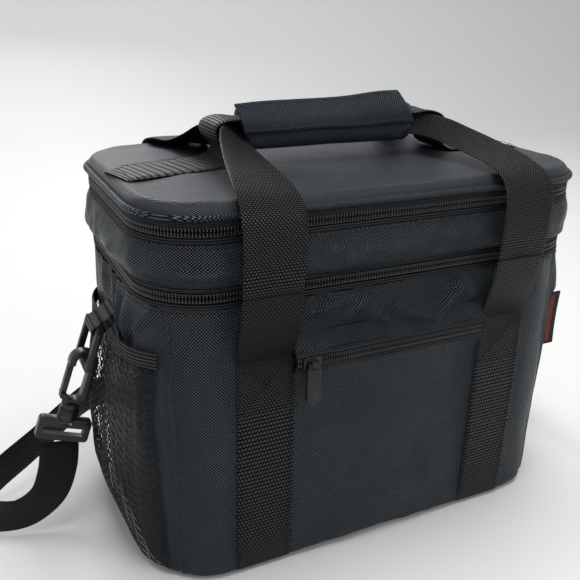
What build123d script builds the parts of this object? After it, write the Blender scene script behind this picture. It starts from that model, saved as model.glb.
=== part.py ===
"""Two-compartment insulated food carrier: a soft cooler bag with a zipped lid and handles.

Units are millimetres. The origin is the centre of the underside, +Z is up, the front is -Y
and +X is to the right when the front is seen. Every separate piece is written as one STEP file.
"""
from build123d import *
import math
import os

# Overall sizes
body_width = 306.0
body_depth = 180.0
corner_radius = 42.0
main_zip_z = 195.0
lid_zip_z = 233.0
lid_top_z = 248.5

# Wall layers, from the outside inwards
shell_thickness = 1.2
foam_thickness = 6.0
liner_thickness = 0.8
layer_gap = 0.2
panel_thickness = 1.6
board_thickness = 2.0

# Zip chains: two rows of teeth on two tapes, stacked in height
row_height = 2.4
row_gap = 1.0
row_proud = 0.8
row_depth = 2.4
tape_height = 5.0
lid_tape_height = 3.0
tape_recess = 0.2
tape_thickness = 0.8
hinge_gap = 0.4

# Lid
lid_overhang = 1.4
lid_edge_radius = 7.0
lid_liner_thickness = 1.4
piping_proud = 4.2
piping_depth = 2.6
piping_height = 4.6
piping_radius = 1.8

# Handle webbing
webbing_width = 38.0
webbing_thickness = 1.6
webbing_spacing = 174.4
webbing_bottom_z = 2.0
webbing_sewn_top_z = 155.0
rim_bend_y = -(body_depth / 2 + 13.5)
rim_bend_z = lid_zip_z + 2.0
joint_gap = 0.6

# Grip: two padded halves wrapped round the webbing
grip_length = 136.0
grip_depth = 30.0
grip_height = 32.0
grip_edge_radius = 11.0
grip_bottom_z = lid_top_z + 7.5
grip_split_gap = 0.6
grip_slot_depth = 21.0
grip_slot_height = 3.0

# Handle strap sewn to the lid and wrapped into the grip
lid_strap_end_x = 149.5
lid_strap_rise_x = 98.0
lid_strap_narrow_x = 78.0
lid_strap_core_width = 20.0

# Front pocket between the handle legs
pocket_bottom_z = 6.0
pocket_zip_z = 147.7
pocket_depth = 5.0
pocket_panel_thickness = 1.0
pocket_side_gap = 0.4
pocket_rim = 3.0
pocket_tape_height = 3.4
pocket_strip_height = 9.0

# Zip sliders and pulls
slider_length = 12.0
slider_height = 8.4
slider_plate = 1.6
slider_web = 0.6
slider_clearance = 0.3
lug_length = 4.0
lug_height = 4.4
lug_depth = 3.4
pin_radius = 0.9
pin_clearance = 0.06
pull_length = 27.0
pull_width = 9.4
pull_thickness = 2.2
pull_cheek = 1.4
slider_park_y = 36.0

# Mesh pockets on both sides
mesh_edge_inset = 16.0
mesh_thickness = 1.2
mesh_bulge = 20.0
mesh_top_bulge = 8.0
mesh_bottom_z = 6.0
mesh_bulge_z = 70.0
mesh_top_z = 140.0
elastic_height = 10.0
elastic_thickness = 1.6

# Strap hardware, hanging from a webbing tab on each side
strap_width = 25.0
strap_thickness = 1.4
strap_clearance = 5.4
ring_pivot_x = body_width / 2 + 15.0
ring_pivot_z = 150.0
tab_anchor_z = 162.0
tab_loop_radius = 2.6
hang_tilt = 20.0
ring_bar_radius = 2.2
ring_drop = 24.0
ring_thickness = 4.0
ring_margin = 0.8
hook_width = 18.0
hook_thickness = 8.4
hook_head = 7.0
hook_length = 32.0
hook_wall = 4.0
eye_clearance = 1.2
gate_width = 3.4
gate_thickness = 5.2
gate_length = 24.4
gate_top = 4.0
gate_gap = 0.4
gate_pin_radius = 1.0
post_radius = 3.0
post_clearance = 0.08
post_head_radius = 4.2
collar_radius = 6.0
collar_height = 2.5
barrel_height = 7.6
head_room = 4.6
base_thickness = 6.0
base_bar = 4.0
base_slot = 5.5

# Generic woven side tag in the right front seam
tag_height = 42.0
tag_reach = 13.0
tag_thickness = 0.8
tag_bottom_z = 112.0
tag_front_inset = 12.0

os.makedirs("parts", exist_ok=True)

far = 2.0 * (body_width + body_depth)
half_depth = body_depth / 2
half_chain = row_gap / 2 + row_height
zip_end_y = half_depth - corner_radius
leg_x = webbing_spacing / 2
slider_room = slider_height / 2 + slider_clearance


def save(name, solid):
    """Write one piece to its STEP file."""
    export_step(solid, f"parts/{name}.step")


def outline(outset, z, height):
    """The body's rounded footprint, grown by outset, as a prism that starts at z."""
    footprint = RectangleRounded(
        body_width + 2 * outset, body_depth + 2 * outset, corner_radius + outset
    )
    return Pos(0, 0, z) * extrude(footprint, amount=height)


def wall(outset, thickness, z, height):
    """A band round the body: its outer face stands at outset."""
    return outline(outset, z, height) - outline(outset - thickness, z, height)


def block(x0, x1, y0, y1, z0, z1):
    """A box between two corners."""
    return Pos((x0 + x1) / 2, (y0 + y1) / 2, (z0 + z1) / 2) * Box(x1 - x0, y1 - y0, z1 - z0)


front_half_space = block(-far, far, -far, zip_end_y, -far, far)
rear_half_space = block(-far, far, zip_end_y, far, -far, far)


def front_run(solid):
    """The stretch along the left side, the front and the right side, where the zip runs."""
    return solid & front_half_space


def rear_run(solid):
    """The stretch round the back, where plain fabric makes the hinge."""
    return solid & rear_half_space


def band_profile(points, thickness):
    """Outline of a thin band that follows a line of points in a plane, with mitred corners."""
    sides = ([], [])
    for i, (a, b) in enumerate(points):
        before = points[max(i - 1, 0)]
        after = points[min(i + 1, len(points) - 1)]
        here = (a, b)
        normals = []
        for start, end in ((before, here), (here, after)):
            length = math.hypot(end[0] - start[0], end[1] - start[1])
            if length > 0:
                normals.append(((start[1] - end[1]) / length, (end[0] - start[0]) / length))
        n = [sum(v) / len(normals) for v in zip(*normals)]
        scale = thickness / 2 / (n[0] ** 2 + n[1] ** 2)
        sides[0].append((a + n[0] * scale, b + n[1] * scale))
        sides[1].append((a - n[0] * scale, b - n[1] * scale))
    return sides[0] + sides[1][::-1]


def band(points, thickness, plane, width):
    """A flat webbing band: the line of points in the plane, spread over its width."""
    face = make_face(Polyline(*band_profile(points, thickness), close=True))
    return extrude(plane * face, amount=width / 2, both=True)


def ribbon(stations, width, thickness):
    """A twisting webbing ribbon through stations of (centre, width direction)."""
    wires = []
    for i, (centre, across) in enumerate(stations):
        c = Vector(*centre)
        along = Vector(*stations[min(i + 1, len(stations) - 1)][0]) - Vector(*stations[max(i - 1, 0)][0])
        w = Vector(*across).normalized()
        n = along.cross(w).normalized()
        w = n.cross(along).normalized() * (width / 2)
        n = n * (thickness / 2)
        corners = [c + w + n, c - w + n, c - w - n, c + w - n]
        wires.append(Wire.make_polygon(corners, close=True))
    return Solid.make_loft(wires, ruled=True)


def mirrored(solid):
    """The same piece on the other side of the middle plane."""
    return mirror(solid, about=Plane.YZ)


# ---------------------------------------------------------------- lower body
foam_out = -(shell_thickness + layer_gap)
liner_out = foam_out - foam_thickness - layer_gap
main_tape_low = main_zip_z - half_chain - tape_height
main_tape_high = main_zip_z + half_chain + tape_height
lid_tape_low = lid_zip_z - half_chain - tape_height
lid_tape_high = lid_zip_z + half_chain + lid_tape_height
board_z = panel_thickness + layer_gap
lower_foam_z = board_z + board_thickness + layer_gap
lower_rim_z = main_zip_z - slider_room
tape_out = -tape_recess


def lining_cup(outset, thickness, floor_z, floor_thickness, rim_z):
    """An open cup that lines a compartment."""
    outer = outline(outset, floor_z, rim_z - floor_z)
    hollow = outline(outset - thickness, floor_z + floor_thickness, rim_z - floor_z)
    return outer - hollow


def make_lower_body():
    """The lower compartment: base, shell, foam, liner and the lower half of the main zip."""
    save("base_panel", outline(0, 0, panel_thickness))
    save("base_board", outline(foam_out - layer_gap, board_z, board_thickness))
    rear_top = main_zip_z - hinge_gap
    shell = wall(0, shell_thickness, panel_thickness, main_tape_low - panel_thickness)
    shell += rear_run(wall(0, shell_thickness, main_tape_low, rear_top - main_tape_low))
    save("lower_shell", shell)
    foam = lining_cup(foam_out, foam_thickness, lower_foam_z, foam_thickness, lower_rim_z)
    save("lower_foam", foam)
    liner_z = lower_foam_z + foam_thickness + layer_gap
    save("lower_liner", lining_cup(liner_out, liner_thickness, liner_z, liner_thickness, lower_rim_z))
    save("main_zip_lower_tape", front_run(wall(tape_out, tape_thickness, main_tape_low, tape_height)))
    row_z = main_tape_low + tape_height
    save("main_zip_lower_teeth", front_run(wall(row_proud, row_depth, row_z, row_height)))


# ---------------------------------------------------------------- upper compartment
def make_upper_compartment():
    """The shallow upper compartment, hinged at the back to the lower body."""
    row_z = main_zip_z + row_gap / 2
    save("main_zip_upper_teeth", front_run(wall(row_proud, row_depth, row_z, row_height)))
    tape_z = row_z + row_height
    save("main_zip_upper_tape", front_run(wall(tape_out, tape_thickness, tape_z, tape_height)))
    shell = wall(0, shell_thickness, main_tape_high, lid_tape_low - main_tape_high)
    low_z = main_zip_z + hinge_gap
    high_z = lid_zip_z - hinge_gap
    shell += rear_run(wall(0, shell_thickness, low_z, main_tape_high - low_z))
    shell += rear_run(wall(0, shell_thickness, lid_tape_low, high_z - lid_tape_low))
    save("upper_shell", shell)
    floor_z = main_zip_z + slider_room
    inner_out = row_proud - row_depth - layer_gap
    save("compartment_floor", outline(inner_out, floor_z, panel_thickness))
    foam_z = floor_z + panel_thickness + layer_gap
    rim_z = lid_zip_z - slider_room
    foam_side = inner_out - layer_gap
    save("upper_foam", lining_cup(foam_side, foam_thickness, foam_z, foam_thickness, rim_z))
    liner_z = foam_z + foam_thickness + layer_gap
    liner_side = foam_side - foam_thickness - layer_gap
    save("upper_liner", lining_cup(liner_side, liner_thickness, liner_z, liner_thickness, rim_z))
    save("lid_zip_lower_tape", front_run(wall(tape_out, tape_thickness, lid_tape_low, tape_height)))
    row_z = lid_tape_low + tape_height
    save("lid_zip_lower_teeth", front_run(wall(row_proud, row_depth, row_z, row_height)))


# ---------------------------------------------------------------- lid
def rounded_top(outset, z, top_z, radius):
    """A lid-shaped slab with a rounded top edge."""
    slab = outline(outset, z, top_z - z)
    return fillet(slab.edges().group_by(Axis.Z)[-1], radius)


def make_lid():
    """The padded lid with its piping, the upper half of the lid zip and the lid strap."""
    row_z = lid_zip_z + row_gap / 2
    save("lid_zip_upper_teeth", front_run(wall(row_proud, row_depth, row_z, row_height)))
    tape_z = row_z + row_height
    save("lid_zip_upper_tape", front_run(wall(tape_out, tape_thickness, tape_z, lid_tape_height)))
    inner_top = lid_top_z - shell_thickness
    inner_out = lid_overhang - shell_thickness
    cover = rounded_top(lid_overhang, lid_tape_high, lid_top_z, lid_edge_radius)
    cover -= rounded_top(inner_out, lid_tape_high, inner_top, lid_edge_radius - shell_thickness)
    hinge_z = lid_zip_z + hinge_gap
    strip_out = (lid_overhang - layer_gap) / 2
    cover += rear_run(wall(strip_out, shell_thickness, hinge_z, lid_tape_high - hinge_z))
    save("lid_cover", cover)
    foam_out_lid = inner_out - layer_gap
    foam_z = lid_tape_high + layer_gap
    foam_radius = lid_edge_radius - shell_thickness - layer_gap
    save("lid_foam", rounded_top(foam_out_lid, foam_z, inner_top - layer_gap, foam_radius))
    liner_z = lid_tape_high - lid_liner_thickness
    save("lid_liner", outline(row_proud - row_depth - layer_gap, liner_z, lid_liner_thickness))
    piping = wall(piping_proud, piping_depth, lid_tape_high, piping_height)
    outer = [e for e in piping.edges() if abs(e.center().Z - lid_tape_high - piping_height / 2) > 1]
    reach = body_depth / 2 + piping_proud - piping_depth / 2
    outer = [e for e in outer if max(abs(e.bounding_box().min.Y), abs(e.bounding_box().max.Y)) > reach
             or max(abs(e.bounding_box().min.X), abs(e.bounding_box().max.X))
             > body_width / 2 + piping_proud - piping_depth / 2]
    save("lid_piping", fillet(outer, piping_radius))
    save("lid_handle", lid_strap())


def lid_strap():
    """Webbing sewn along the lid's middle, which rises at both ends of the grip."""
    flat_z = lid_top_z + webbing_thickness / 2 + 0.1
    core_z = grip_bottom_z + grip_height * 0.68
    side = [
        (lid_strap_end_x, flat_z),
        (lid_strap_rise_x, flat_z),
        (lid_strap_rise_x - 10, flat_z + 8),
        (lid_strap_rise_x - 15, core_z - 8),
        (lid_strap_narrow_x, core_z - 1.5),
    ]
    wide = band(side, webbing_thickness, Plane.XZ, webbing_width)
    core = [(-lid_strap_narrow_x, core_z - 1.5), (-grip_length / 2, core_z),
            (grip_length / 2, core_z), (lid_strap_narrow_x, core_z - 1.5)]
    return wide + mirrored(wide) + band(core, webbing_thickness, Plane.XZ, lid_strap_core_width)


# ---------------------------------------------------------------- handles
leg_points = [
    (-(half_depth + webbing_thickness / 2), webbing_sewn_top_z + joint_gap),
    (-(half_depth + 6.5), webbing_sewn_top_z + 20),
    (-(half_depth + 11.5), webbing_sewn_top_z + 45),
    (rim_bend_y, webbing_sewn_top_z + 67),
    (rim_bend_y, rim_bend_z - joint_gap),
]


def handle_leg_top():
    """One leg's upper ribbon, from the bend at the rim to the end of the grip."""
    inner_x = grip_length / 2 + 8.5
    stations = [
        ((leg_x, rim_bend_y, rim_bend_z), (1, 0, 0)),
        ((leg_x, rim_bend_y + 2.0, rim_bend_z + 11), (1, 0, 0)),
        ((leg_x, rim_bend_y + 11.5, rim_bend_z + 20), (1, 0, 0)),
        ((leg_x, rim_bend_y + 43, rim_bend_z + 28), (1, 0, 0)),
        ((leg_x - 2, rim_bend_y + 66, rim_bend_z + 32), (0.95, 0, 0.3)),
        ((inner_x, -grip_depth / 2 - 4.5, rim_bend_z + 35), (0.35, 0, 0.94)),
    ]
    return ribbon(stations, webbing_width * 0.9, webbing_thickness)


def grip_half():
    """The front half of the padded grip, with a slot for the lid strap."""
    centre_z = grip_bottom_z + grip_height / 2
    pad = Pos(0, 0, centre_z) * Box(grip_length, grip_depth, grip_height)
    pad = fillet(pad.edges().filter_by(Axis.X), grip_edge_radius)
    slot_z = grip_bottom_z + grip_height * 0.68
    pad -= Pos(0, 0, slot_z) * Box(far, grip_slot_depth, grip_slot_height)
    return pad & block(-far, far, -far, -grip_split_gap / 2, 0, far)


def make_handles():
    """Two carrying handles: sewn webbing, free legs, upper ribbons and the padded grip."""
    sewn_z = (webbing_bottom_z + webbing_sewn_top_z) / 2
    sewn = Box(webbing_width, webbing_thickness, webbing_sewn_top_z - webbing_bottom_z)
    leg = Pos(leg_x, 0, 0) * band(leg_points, webbing_thickness, Plane.YZ, webbing_width)
    top = handle_leg_top()
    pieces = {"handle_legs": Compound([leg, mirrored(leg)]), "handle_top": Compound([top, mirrored(top)]),
              "grip": grip_half()}
    for side, x in (("left", -leg_x), ("right", leg_x)):
        strip = Pos(x, -(half_depth + webbing_thickness / 2), sewn_z) * sewn
        save(f"front_webbing_{side}", strip)
        save(f"back_webbing_{side}", mirror(strip, about=Plane.XZ))
    for name, solid in pieces.items():
        save(f"front_{name}", solid)
        save(f"back_{name}", mirror(solid, about=Plane.XZ))


# ---------------------------------------------------------------- front pocket
pocket_half_width = leg_x - webbing_width / 2 - pocket_side_gap
pocket_front_y = -(half_depth + pocket_depth + pocket_panel_thickness)
pocket_top_z = pocket_zip_z - half_chain - pocket_tape_height


def make_pocket():
    """The flat zipped pocket on the front."""
    front = pocket_front_y
    back = -half_depth
    width = pocket_half_width
    panel = block(-width, width, front, back, pocket_bottom_z, pocket_top_z)
    panel -= block(-width + pocket_rim, width - pocket_rim, front + pocket_panel_thickness, back,
                   pocket_bottom_z + pocket_rim, pocket_top_z)
    save("pocket_panel", panel)
    tape_front = front + 0.1
    tape_back = tape_front + tape_thickness
    tapes = []
    teeth = []
    for z in (pocket_top_z, pocket_zip_z + half_chain):
        tapes.append(block(-width, width, tape_front, tape_back, z, z + pocket_tape_height))
    for z in (pocket_zip_z - half_chain, pocket_zip_z + row_gap / 2):
        teeth.append(block(-width, width, front - row_proud, front - row_proud + row_depth,
                           z, z + row_height))
    save("pocket_zip_tapes", Compound(tapes))
    save("pocket_zip_teeth", Compound(teeth))
    strip_z = pocket_zip_z + half_chain + pocket_tape_height
    save("pocket_top_strip", block(-width, width, front, back, strip_z, strip_z + pocket_strip_height))


# ---------------------------------------------------------------- sliders and pulls
lug_y = -(row_proud + slider_clearance + slider_plate + lug_depth / 2)


def zip_slider():
    """A slider whose chain runs along X and whose front is -Y, with its lug bored for the pull.

    Its origin is on the chain's middle line, in the plane of the tape's outer face.
    """
    front = -(row_proud + slider_clearance + slider_plate)
    back = row_depth - row_proud + slider_clearance
    plate = block(-slider_length / 2, slider_length / 2, front, front + slider_plate,
                  -slider_height / 2, slider_height / 2)
    plate = fillet(plate.edges().filter_by(Axis.Y), 2.4)
    rear = block(-slider_length / 2, slider_length / 2, back, back + slider_plate,
                 -slider_height / 2, slider_height / 2)
    web = block(-slider_length / 4, slider_length / 4, front, back + slider_plate,
                -slider_web / 2, slider_web / 2)
    lug = Pos(0, lug_y, 0) * Box(lug_length, lug_depth, lug_height)
    bore = Pos(0, lug_y, 0) * Rot(0, 90, 0) * Cylinder(pin_radius + pin_clearance, far)
    return plate + rear + web + lug - bore


def zip_pull():
    """The flat pull that hangs from a slider's lug, with a round lower end."""
    cheek_x = lug_length / 2 + slider_clearance
    outer_x = cheek_x + pull_cheek
    pin = Pos(0, lug_y, 0) * Rot(0, 90, 0) * Cylinder(pin_radius, 2 * outer_x)
    cheek_drop = lug_height / 2 + 2.6
    cheek = block(cheek_x, outer_x, lug_y - pull_thickness / 2, lug_y + pull_thickness / 2,
                  -cheek_drop, pull_thickness / 2)
    face = Pos(0, -cheek_drop + 1.4) * Rectangle(pull_width, 2.8)
    face += Pos(0, -(pull_length + cheek_drop - pull_width / 2) / 2) * Rectangle(
        pull_width, pull_length - cheek_drop - pull_width / 2)
    face += Pos(0, -(pull_length - pull_width / 2)) * Circle(pull_width / 2)
    tab_plane = Plane(origin=(0, lug_y, 0), x_dir=(1, 0, 0), z_dir=(0, -1, 0))
    tab = extrude(tab_plane * face, amount=pull_thickness / 2, both=True)
    tab -= block(-cheek_x, cheek_x, lug_y - pull_thickness, lug_y + pull_thickness,
                 -lug_height / 2 - 0.8, pull_thickness)
    return tab + pin + cheek + mirrored(cheek)


def make_sliders():
    """The pocket slider at the zip's left end, and the two big sliders on the right side."""
    slider = zip_slider()
    pull = zip_pull()
    pocket_x = -pocket_half_width + slider_length / 2 + 2.0
    side = body_width / 2
    places = {
        "pocket": Pos(pocket_x, pocket_front_y, pocket_zip_z),
        "main": Pos(side, slider_park_y, main_zip_z) * Rot(0, 0, 90),
        "lid": Pos(side, slider_park_y, lid_zip_z) * Rot(0, 0, 90),
    }
    for name, place in places.items():
        save(f"{name}_slider", place * slider)
        save(f"{name}_pull", place * pull)


# ---------------------------------------------------------------- side mesh pockets
def corner_x(y):
    """How far out the body's side stands at a distance y from the middle, past the flat run."""
    return body_width / 2 - corner_radius + math.sqrt(corner_radius ** 2 - (y - zip_end_y) ** 2)


def pocket_section(bulge, inset, z):
    """A side pocket's level outline: flat on the body, five-sided outside."""
    x0 = body_width / 2
    half = body_depth / 2 - mesh_edge_inset - inset
    edge_x = corner_x(half) - panel_thickness
    reach = bulge - inset
    corners = [(edge_x, -half, z), (x0 + reach * 0.72, -half * 0.62, z), (x0 + reach, 0, z),
               (x0 + reach * 0.72, half * 0.62, z), (edge_x, half, z)]
    return Wire.make_polygon([Vector(*c) for c in corners], close=True)


def pocket_form(levels, inset):
    """A bulging form through levels of (height, bulge)."""
    return Solid.make_loft([pocket_section(bulge, inset, z) for z, bulge in levels], ruled=True)


def make_side_pockets():
    """A bulging mesh pocket and its elastic edge on each side."""
    levels = [(mesh_bottom_z, mesh_top_bulge), (mesh_bulge_z * 0.5, mesh_bulge * 0.86),
              (mesh_bulge_z, mesh_bulge), (mesh_bulge_z + 40, mesh_bulge * 0.74),
              (mesh_top_z, mesh_top_bulge)]
    inner = [(mesh_bottom_z + mesh_thickness, mesh_top_bulge + 0.8)] + levels[1:-1]
    inner += [(mesh_top_z, mesh_top_bulge), (mesh_top_z + 1, mesh_top_bulge)]
    mesh = pocket_form(levels, 0) - pocket_form(inner, mesh_thickness)
    edge = [(mesh_top_z, mesh_top_bulge), (mesh_top_z + elastic_height, mesh_top_bulge)]
    hole = [(mesh_top_z - 1, mesh_top_bulge), (mesh_top_z + elastic_height + 1, mesh_top_bulge)]
    elastic = pocket_form(edge, 0) - pocket_form(hole, elastic_thickness)
    body = outline(layer_gap / 2, 0, main_zip_z)
    for name, solid in (("mesh_pocket", mesh), ("pocket_elastic", elastic)):
        save(f"{name}_right", solid - body)
        save(f"{name}_left", mirrored(solid - body))


# ---------------------------------------------------------------- strap hardware
hang_place = Pos(-ring_pivot_x, 0, ring_pivot_z) * Rot(0, hang_tilt, 0)
hook_top = -(ring_drop - hook_head)
hook_bottom = hook_top - hook_head - hook_length
ring_width = strap_width + 2 * ring_margin
gate_x = -(hook_width / 2 - gate_width / 2)
gate_pivot_z = -ring_drop - gate_top - gate_length + gate_width / 2


def strap_ring():
    """A rectangular ring: a round bar in the tab, and square sides and lower bar."""
    outer = Pos(0, 0, -ring_drop / 2) * Box(
        ring_thickness, ring_width + 2 * ring_thickness, ring_drop + 2 * ring_bar_radius)
    outer = fillet(outer.edges().filter_by(Axis.X), 2.0)
    inner_height = ring_drop + 6
    hole = Pos(0, 0, -ring_drop + ring_bar_radius + inner_height / 2) * Box(far, ring_width, inner_height)
    bar = Rot(90, 0, 0) * Cylinder(ring_bar_radius, ring_width + 1)
    return outer - hole + bar


def snap_hook():
    """A snap hook: an eye with a gap for the gate, a collar and a headed swivel post."""
    height = hook_head + hook_length
    middle = (hook_top + hook_bottom) / 2
    body_face = Pos(0, middle) * RectangleRounded(hook_width, height, hook_width / 2 - 0.5)
    eye_top = -ring_drop + ring_bar_radius + eye_clearance
    eye_low = hook_bottom + hook_wall
    eye_width = hook_width - hook_wall - gate_width - 1.2
    eye_x = -(hook_width / 2 - gate_width - 0.6) + eye_width / 2
    eye_face = Pos(eye_x, (eye_top + eye_low) / 2) * RectangleRounded(
        eye_width, eye_top - eye_low, eye_width / 2 - 0.4)
    thick = hook_thickness / 2
    hook = extrude(Plane.XZ * (body_face - eye_face), amount=thick, both=True)
    gap_top = -ring_drop - gate_top
    slot_x = -(hook_width / 2 - gate_width - 1.0)
    hinge_top = gate_pivot_z + gate_width / 2 + 0.8
    hinge_low = gate_pivot_z - gate_width / 2 - gate_gap
    hook -= block(-far, slot_x, -far, far, hinge_top, gap_top)
    inner = gate_thickness / 2 + gate_gap / 2
    hook -= block(-far, slot_x, -inner, inner, hinge_low, hinge_top + 1)
    pin = Pos(gate_x, 0, gate_pivot_z) * Rot(90, 0, 0) * Cylinder(gate_pin_radius, hook_thickness)
    collar = Pos(0, 0, hook_bottom - collar_height / 2 + 0.5) * Cylinder(collar_radius, collar_height + 1)
    post_length = barrel_height + 2 * gate_gap + collar_height
    post = Pos(0, 0, hook_bottom - post_length / 2) * Cylinder(post_radius, post_length)
    head_z = hook_bottom - post_length - 1.0
    head = Pos(0, 0, head_z) * Cylinder(post_head_radius, 2.0)
    return hook + pin + collar + post + head


def hook_gate():
    """The sprung gate that closes the hook's eye."""
    top = -ring_drop - gate_top - gate_gap
    length = top - gate_pivot_z
    face = Pos(gate_x, top - length / 2) * Rectangle(gate_width, length)
    face += Pos(gate_x, gate_pivot_z) * Circle(gate_width / 2)
    face -= Pos(gate_x, gate_pivot_z) * Circle(gate_pin_radius + pin_clearance)
    return extrude(Plane.XZ * face, amount=gate_thickness / 2, both=True)


def strap_base():
    """The swivel base: a bored barrel over a frame with a slot for the strap."""
    top = hook_bottom - collar_height - gate_gap
    barrel = Pos(0, 0, top - barrel_height / 2) * Cylinder(collar_radius + 0.4, barrel_height)
    frame_top = top - barrel_height
    frame_height = head_room + 2.0 + base_slot + base_bar
    frame_width = ring_width + 2 * base_bar
    frame = Pos(0, 0, frame_top - frame_height / 2) * Box(frame_width, base_thickness, frame_height)
    frame = fillet(frame.edges().filter_by(Axis.Y), 2.5)
    slot_z = frame_top - head_room - 2.0 - base_slot / 2
    frame -= Pos(0, 0, slot_z) * Box(ring_width, far, base_slot)
    room = 2 * (post_head_radius + gate_gap)
    frame -= Pos(0, 0, frame_top - head_room / 2) * Box(room, far, head_room)
    bore = Pos(0, 0, top) * Cylinder(post_radius + post_clearance, 4 * barrel_height)
    lower_stop = frame_top - head_room
    bore -= block(-far, far, -far, far, -far, lower_stop)
    return barrel + frame - bore


def side_tab():
    """The webbing loop that holds the left ring."""
    x0 = -ring_pivot_x
    x1 = -body_width / 2
    outer_radius = tab_loop_radius + strap_thickness

    def loop(radius):
        run = math.hypot(x1 - x0, tab_anchor_z - ring_pivot_z)
        angle = math.degrees(math.atan2(tab_anchor_z - ring_pivot_z, x1 - x0))
        shape = SlotCenterToCenter(2 * run, 2 * radius)
        place = Pos(x0 + run * math.cos(math.radians(angle)), ring_pivot_z
                    + run * math.sin(math.radians(angle))) * Rot(0, 0, angle)
        return place * shape

    face = loop(outer_radius) - loop(tab_loop_radius)
    solid = extrude(Plane.XZ * face, amount=(strap_width - 1) / 2, both=True)
    return solid & block(-far, x1, -far, far, 0, far)


def strap_end(side, drop):
    """A point on the hanging line of the left (-1) or right (+1) hook, at a distance down it."""
    tilt = math.radians(hang_tilt)
    return (side * (ring_pivot_x + drop * math.sin(tilt)), 0, ring_pivot_z - drop * math.cos(tilt))


strap_drop = -hook_bottom + collar_height + barrel_height + head_room + base_slot + base_bar + strap_clearance

def beside(side, out, y, z):
    """A strap point beside the carrier, at a distance outside the ring's pivot."""
    return (side * (ring_pivot_x + out), y, z)


def corner(side, out, gap, z):
    """A strap point round a rear corner, at a distance behind the back."""
    return (side * (ring_pivot_x + out), body_depth / 2 + gap, z)


def behind(x, gap, z):
    """A strap point behind the carrier, at a distance from its back."""
    return (x, body_depth / 2 + gap, z)


strap_route = [
    (strap_end(-1, strap_drop), (0.94, 0, -0.34)),
    (beside(-1, 32, -2, 52), (0.88, 0, -0.47)),
    (beside(-1, 40, -1, 32), (0.66, 0.05, -0.75)),
    (beside(-1, 56, 3, 19), (0.30, 0.05, -0.95)),
    (beside(-1, 72, 9, 16.5), (0, 0, -1)),
    (beside(-1, 84, 20, 16), (0, 0, -1)),
    (beside(-1, 82, 36, 19), (0, 0, -1)),
    (beside(-1, 68, 47, 25), (0, 0, -1)),
    (beside(-1, 40, 62, 35), (0, 0, -1)),
    (corner(-1, 14, -8, 42), (0, 0, -1)),
    (corner(-1, -12, 16, 42), (0, 0, -1)),
    (behind(-118, 32, 36), (0, 0, -1)),
    (behind(-62, 38, 26), (0, 0, -1)),
    (behind(0, 36, 18), (0, 0, -1)),
    (behind(62, 33, 15), (0, 0, -1)),
    (behind(120, 30, 15), (0, 0, -1)),
    (corner(1, -8, 16, 16), (0, 0, -1)),
    (corner(1, 18, -10, 18), (0, 0, -1)),
    (beside(1, 31, 50, 22), (-0.2, 0, -0.98)),
    (beside(1, 35, 25, 31), (-0.6, 0, -0.8)),
    (beside(1, 32, 8, 50), (-0.85, 0, -0.5)),
    (strap_end(1, strap_drop), (-0.94, 0, -0.34)),
]


def strap_length(route):
    """The length of the line through the route's centres."""
    centres = [Vector(*centre) for centre, _ in route]
    return sum((b - a).length for a, b in zip(centres, centres[1:]))


def make_strap_and_hardware():
    """Tabs, rings, hooks, gates, swivel bases and the shoulder strap."""
    pieces = {"ring": strap_ring(), "hook": snap_hook(), "hook_gate": hook_gate(), "strap_base": strap_base()}
    for name, solid in pieces.items():
        placed = hang_place * solid
        save(f"{name}_left", placed)
        save(f"{name}_right", mirrored(placed))
    tab = side_tab()
    save("side_tab_left", tab)
    save("side_tab_right", mirrored(tab))
    save("shoulder_strap", ribbon(strap_route, strap_width, strap_thickness))
    print(f"shoulder strap length {strap_length(strap_route):.0f} mm")


def make_side_tag():
    """A plain woven tag caught in the right front seam."""
    tag_y = -(body_depth / 2 - tag_front_inset)
    surface_x = corner_x(-tag_y - tag_thickness)
    save("side_tag", block(surface_x + 0.1, surface_x + tag_reach, tag_y, tag_y + tag_thickness,
                           tag_bottom_z, tag_bottom_z + tag_height))


make_lower_body()
make_upper_compartment()
make_lid()
make_handles()
make_pocket()
make_sliders()
make_side_pockets()
make_strap_and_hardware()
make_side_tag()
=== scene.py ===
"""Visual model of a soft, two-compartment insulated food carrier.

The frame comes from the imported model. Lengths in this file are in millimetres and are turned
into metres where a mesh is laid out. +Z is up and the front of the carrier faces -Y.
"""
from __future__ import annotations

import logging
import math
from dataclasses import dataclass, field, replace
from enum import Enum
from typing import Callable, Optional, Sequence

import bpy
from mathutils import Matrix, Vector, noise
from mathutils.bvhtree import BVHTree

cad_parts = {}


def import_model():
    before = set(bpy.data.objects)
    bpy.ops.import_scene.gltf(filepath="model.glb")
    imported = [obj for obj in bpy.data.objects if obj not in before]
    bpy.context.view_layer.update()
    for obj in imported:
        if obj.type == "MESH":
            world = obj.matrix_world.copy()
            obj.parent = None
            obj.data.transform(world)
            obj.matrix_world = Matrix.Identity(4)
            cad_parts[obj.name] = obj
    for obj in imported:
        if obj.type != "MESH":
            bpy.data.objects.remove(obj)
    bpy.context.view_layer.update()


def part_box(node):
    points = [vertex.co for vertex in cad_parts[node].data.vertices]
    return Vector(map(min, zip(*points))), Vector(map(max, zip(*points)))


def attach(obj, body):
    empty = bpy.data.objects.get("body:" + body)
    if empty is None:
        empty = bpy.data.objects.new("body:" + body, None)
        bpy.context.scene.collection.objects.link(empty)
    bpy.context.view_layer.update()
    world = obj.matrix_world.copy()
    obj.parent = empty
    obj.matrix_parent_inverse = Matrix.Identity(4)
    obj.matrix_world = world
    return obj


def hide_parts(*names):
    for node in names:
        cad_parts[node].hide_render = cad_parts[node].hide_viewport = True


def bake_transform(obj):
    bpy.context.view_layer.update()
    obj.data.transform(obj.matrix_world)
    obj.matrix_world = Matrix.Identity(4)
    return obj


MM = 0.001
MERGE = 0.02
MAIN_ZIP_Z = 195.0
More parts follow.
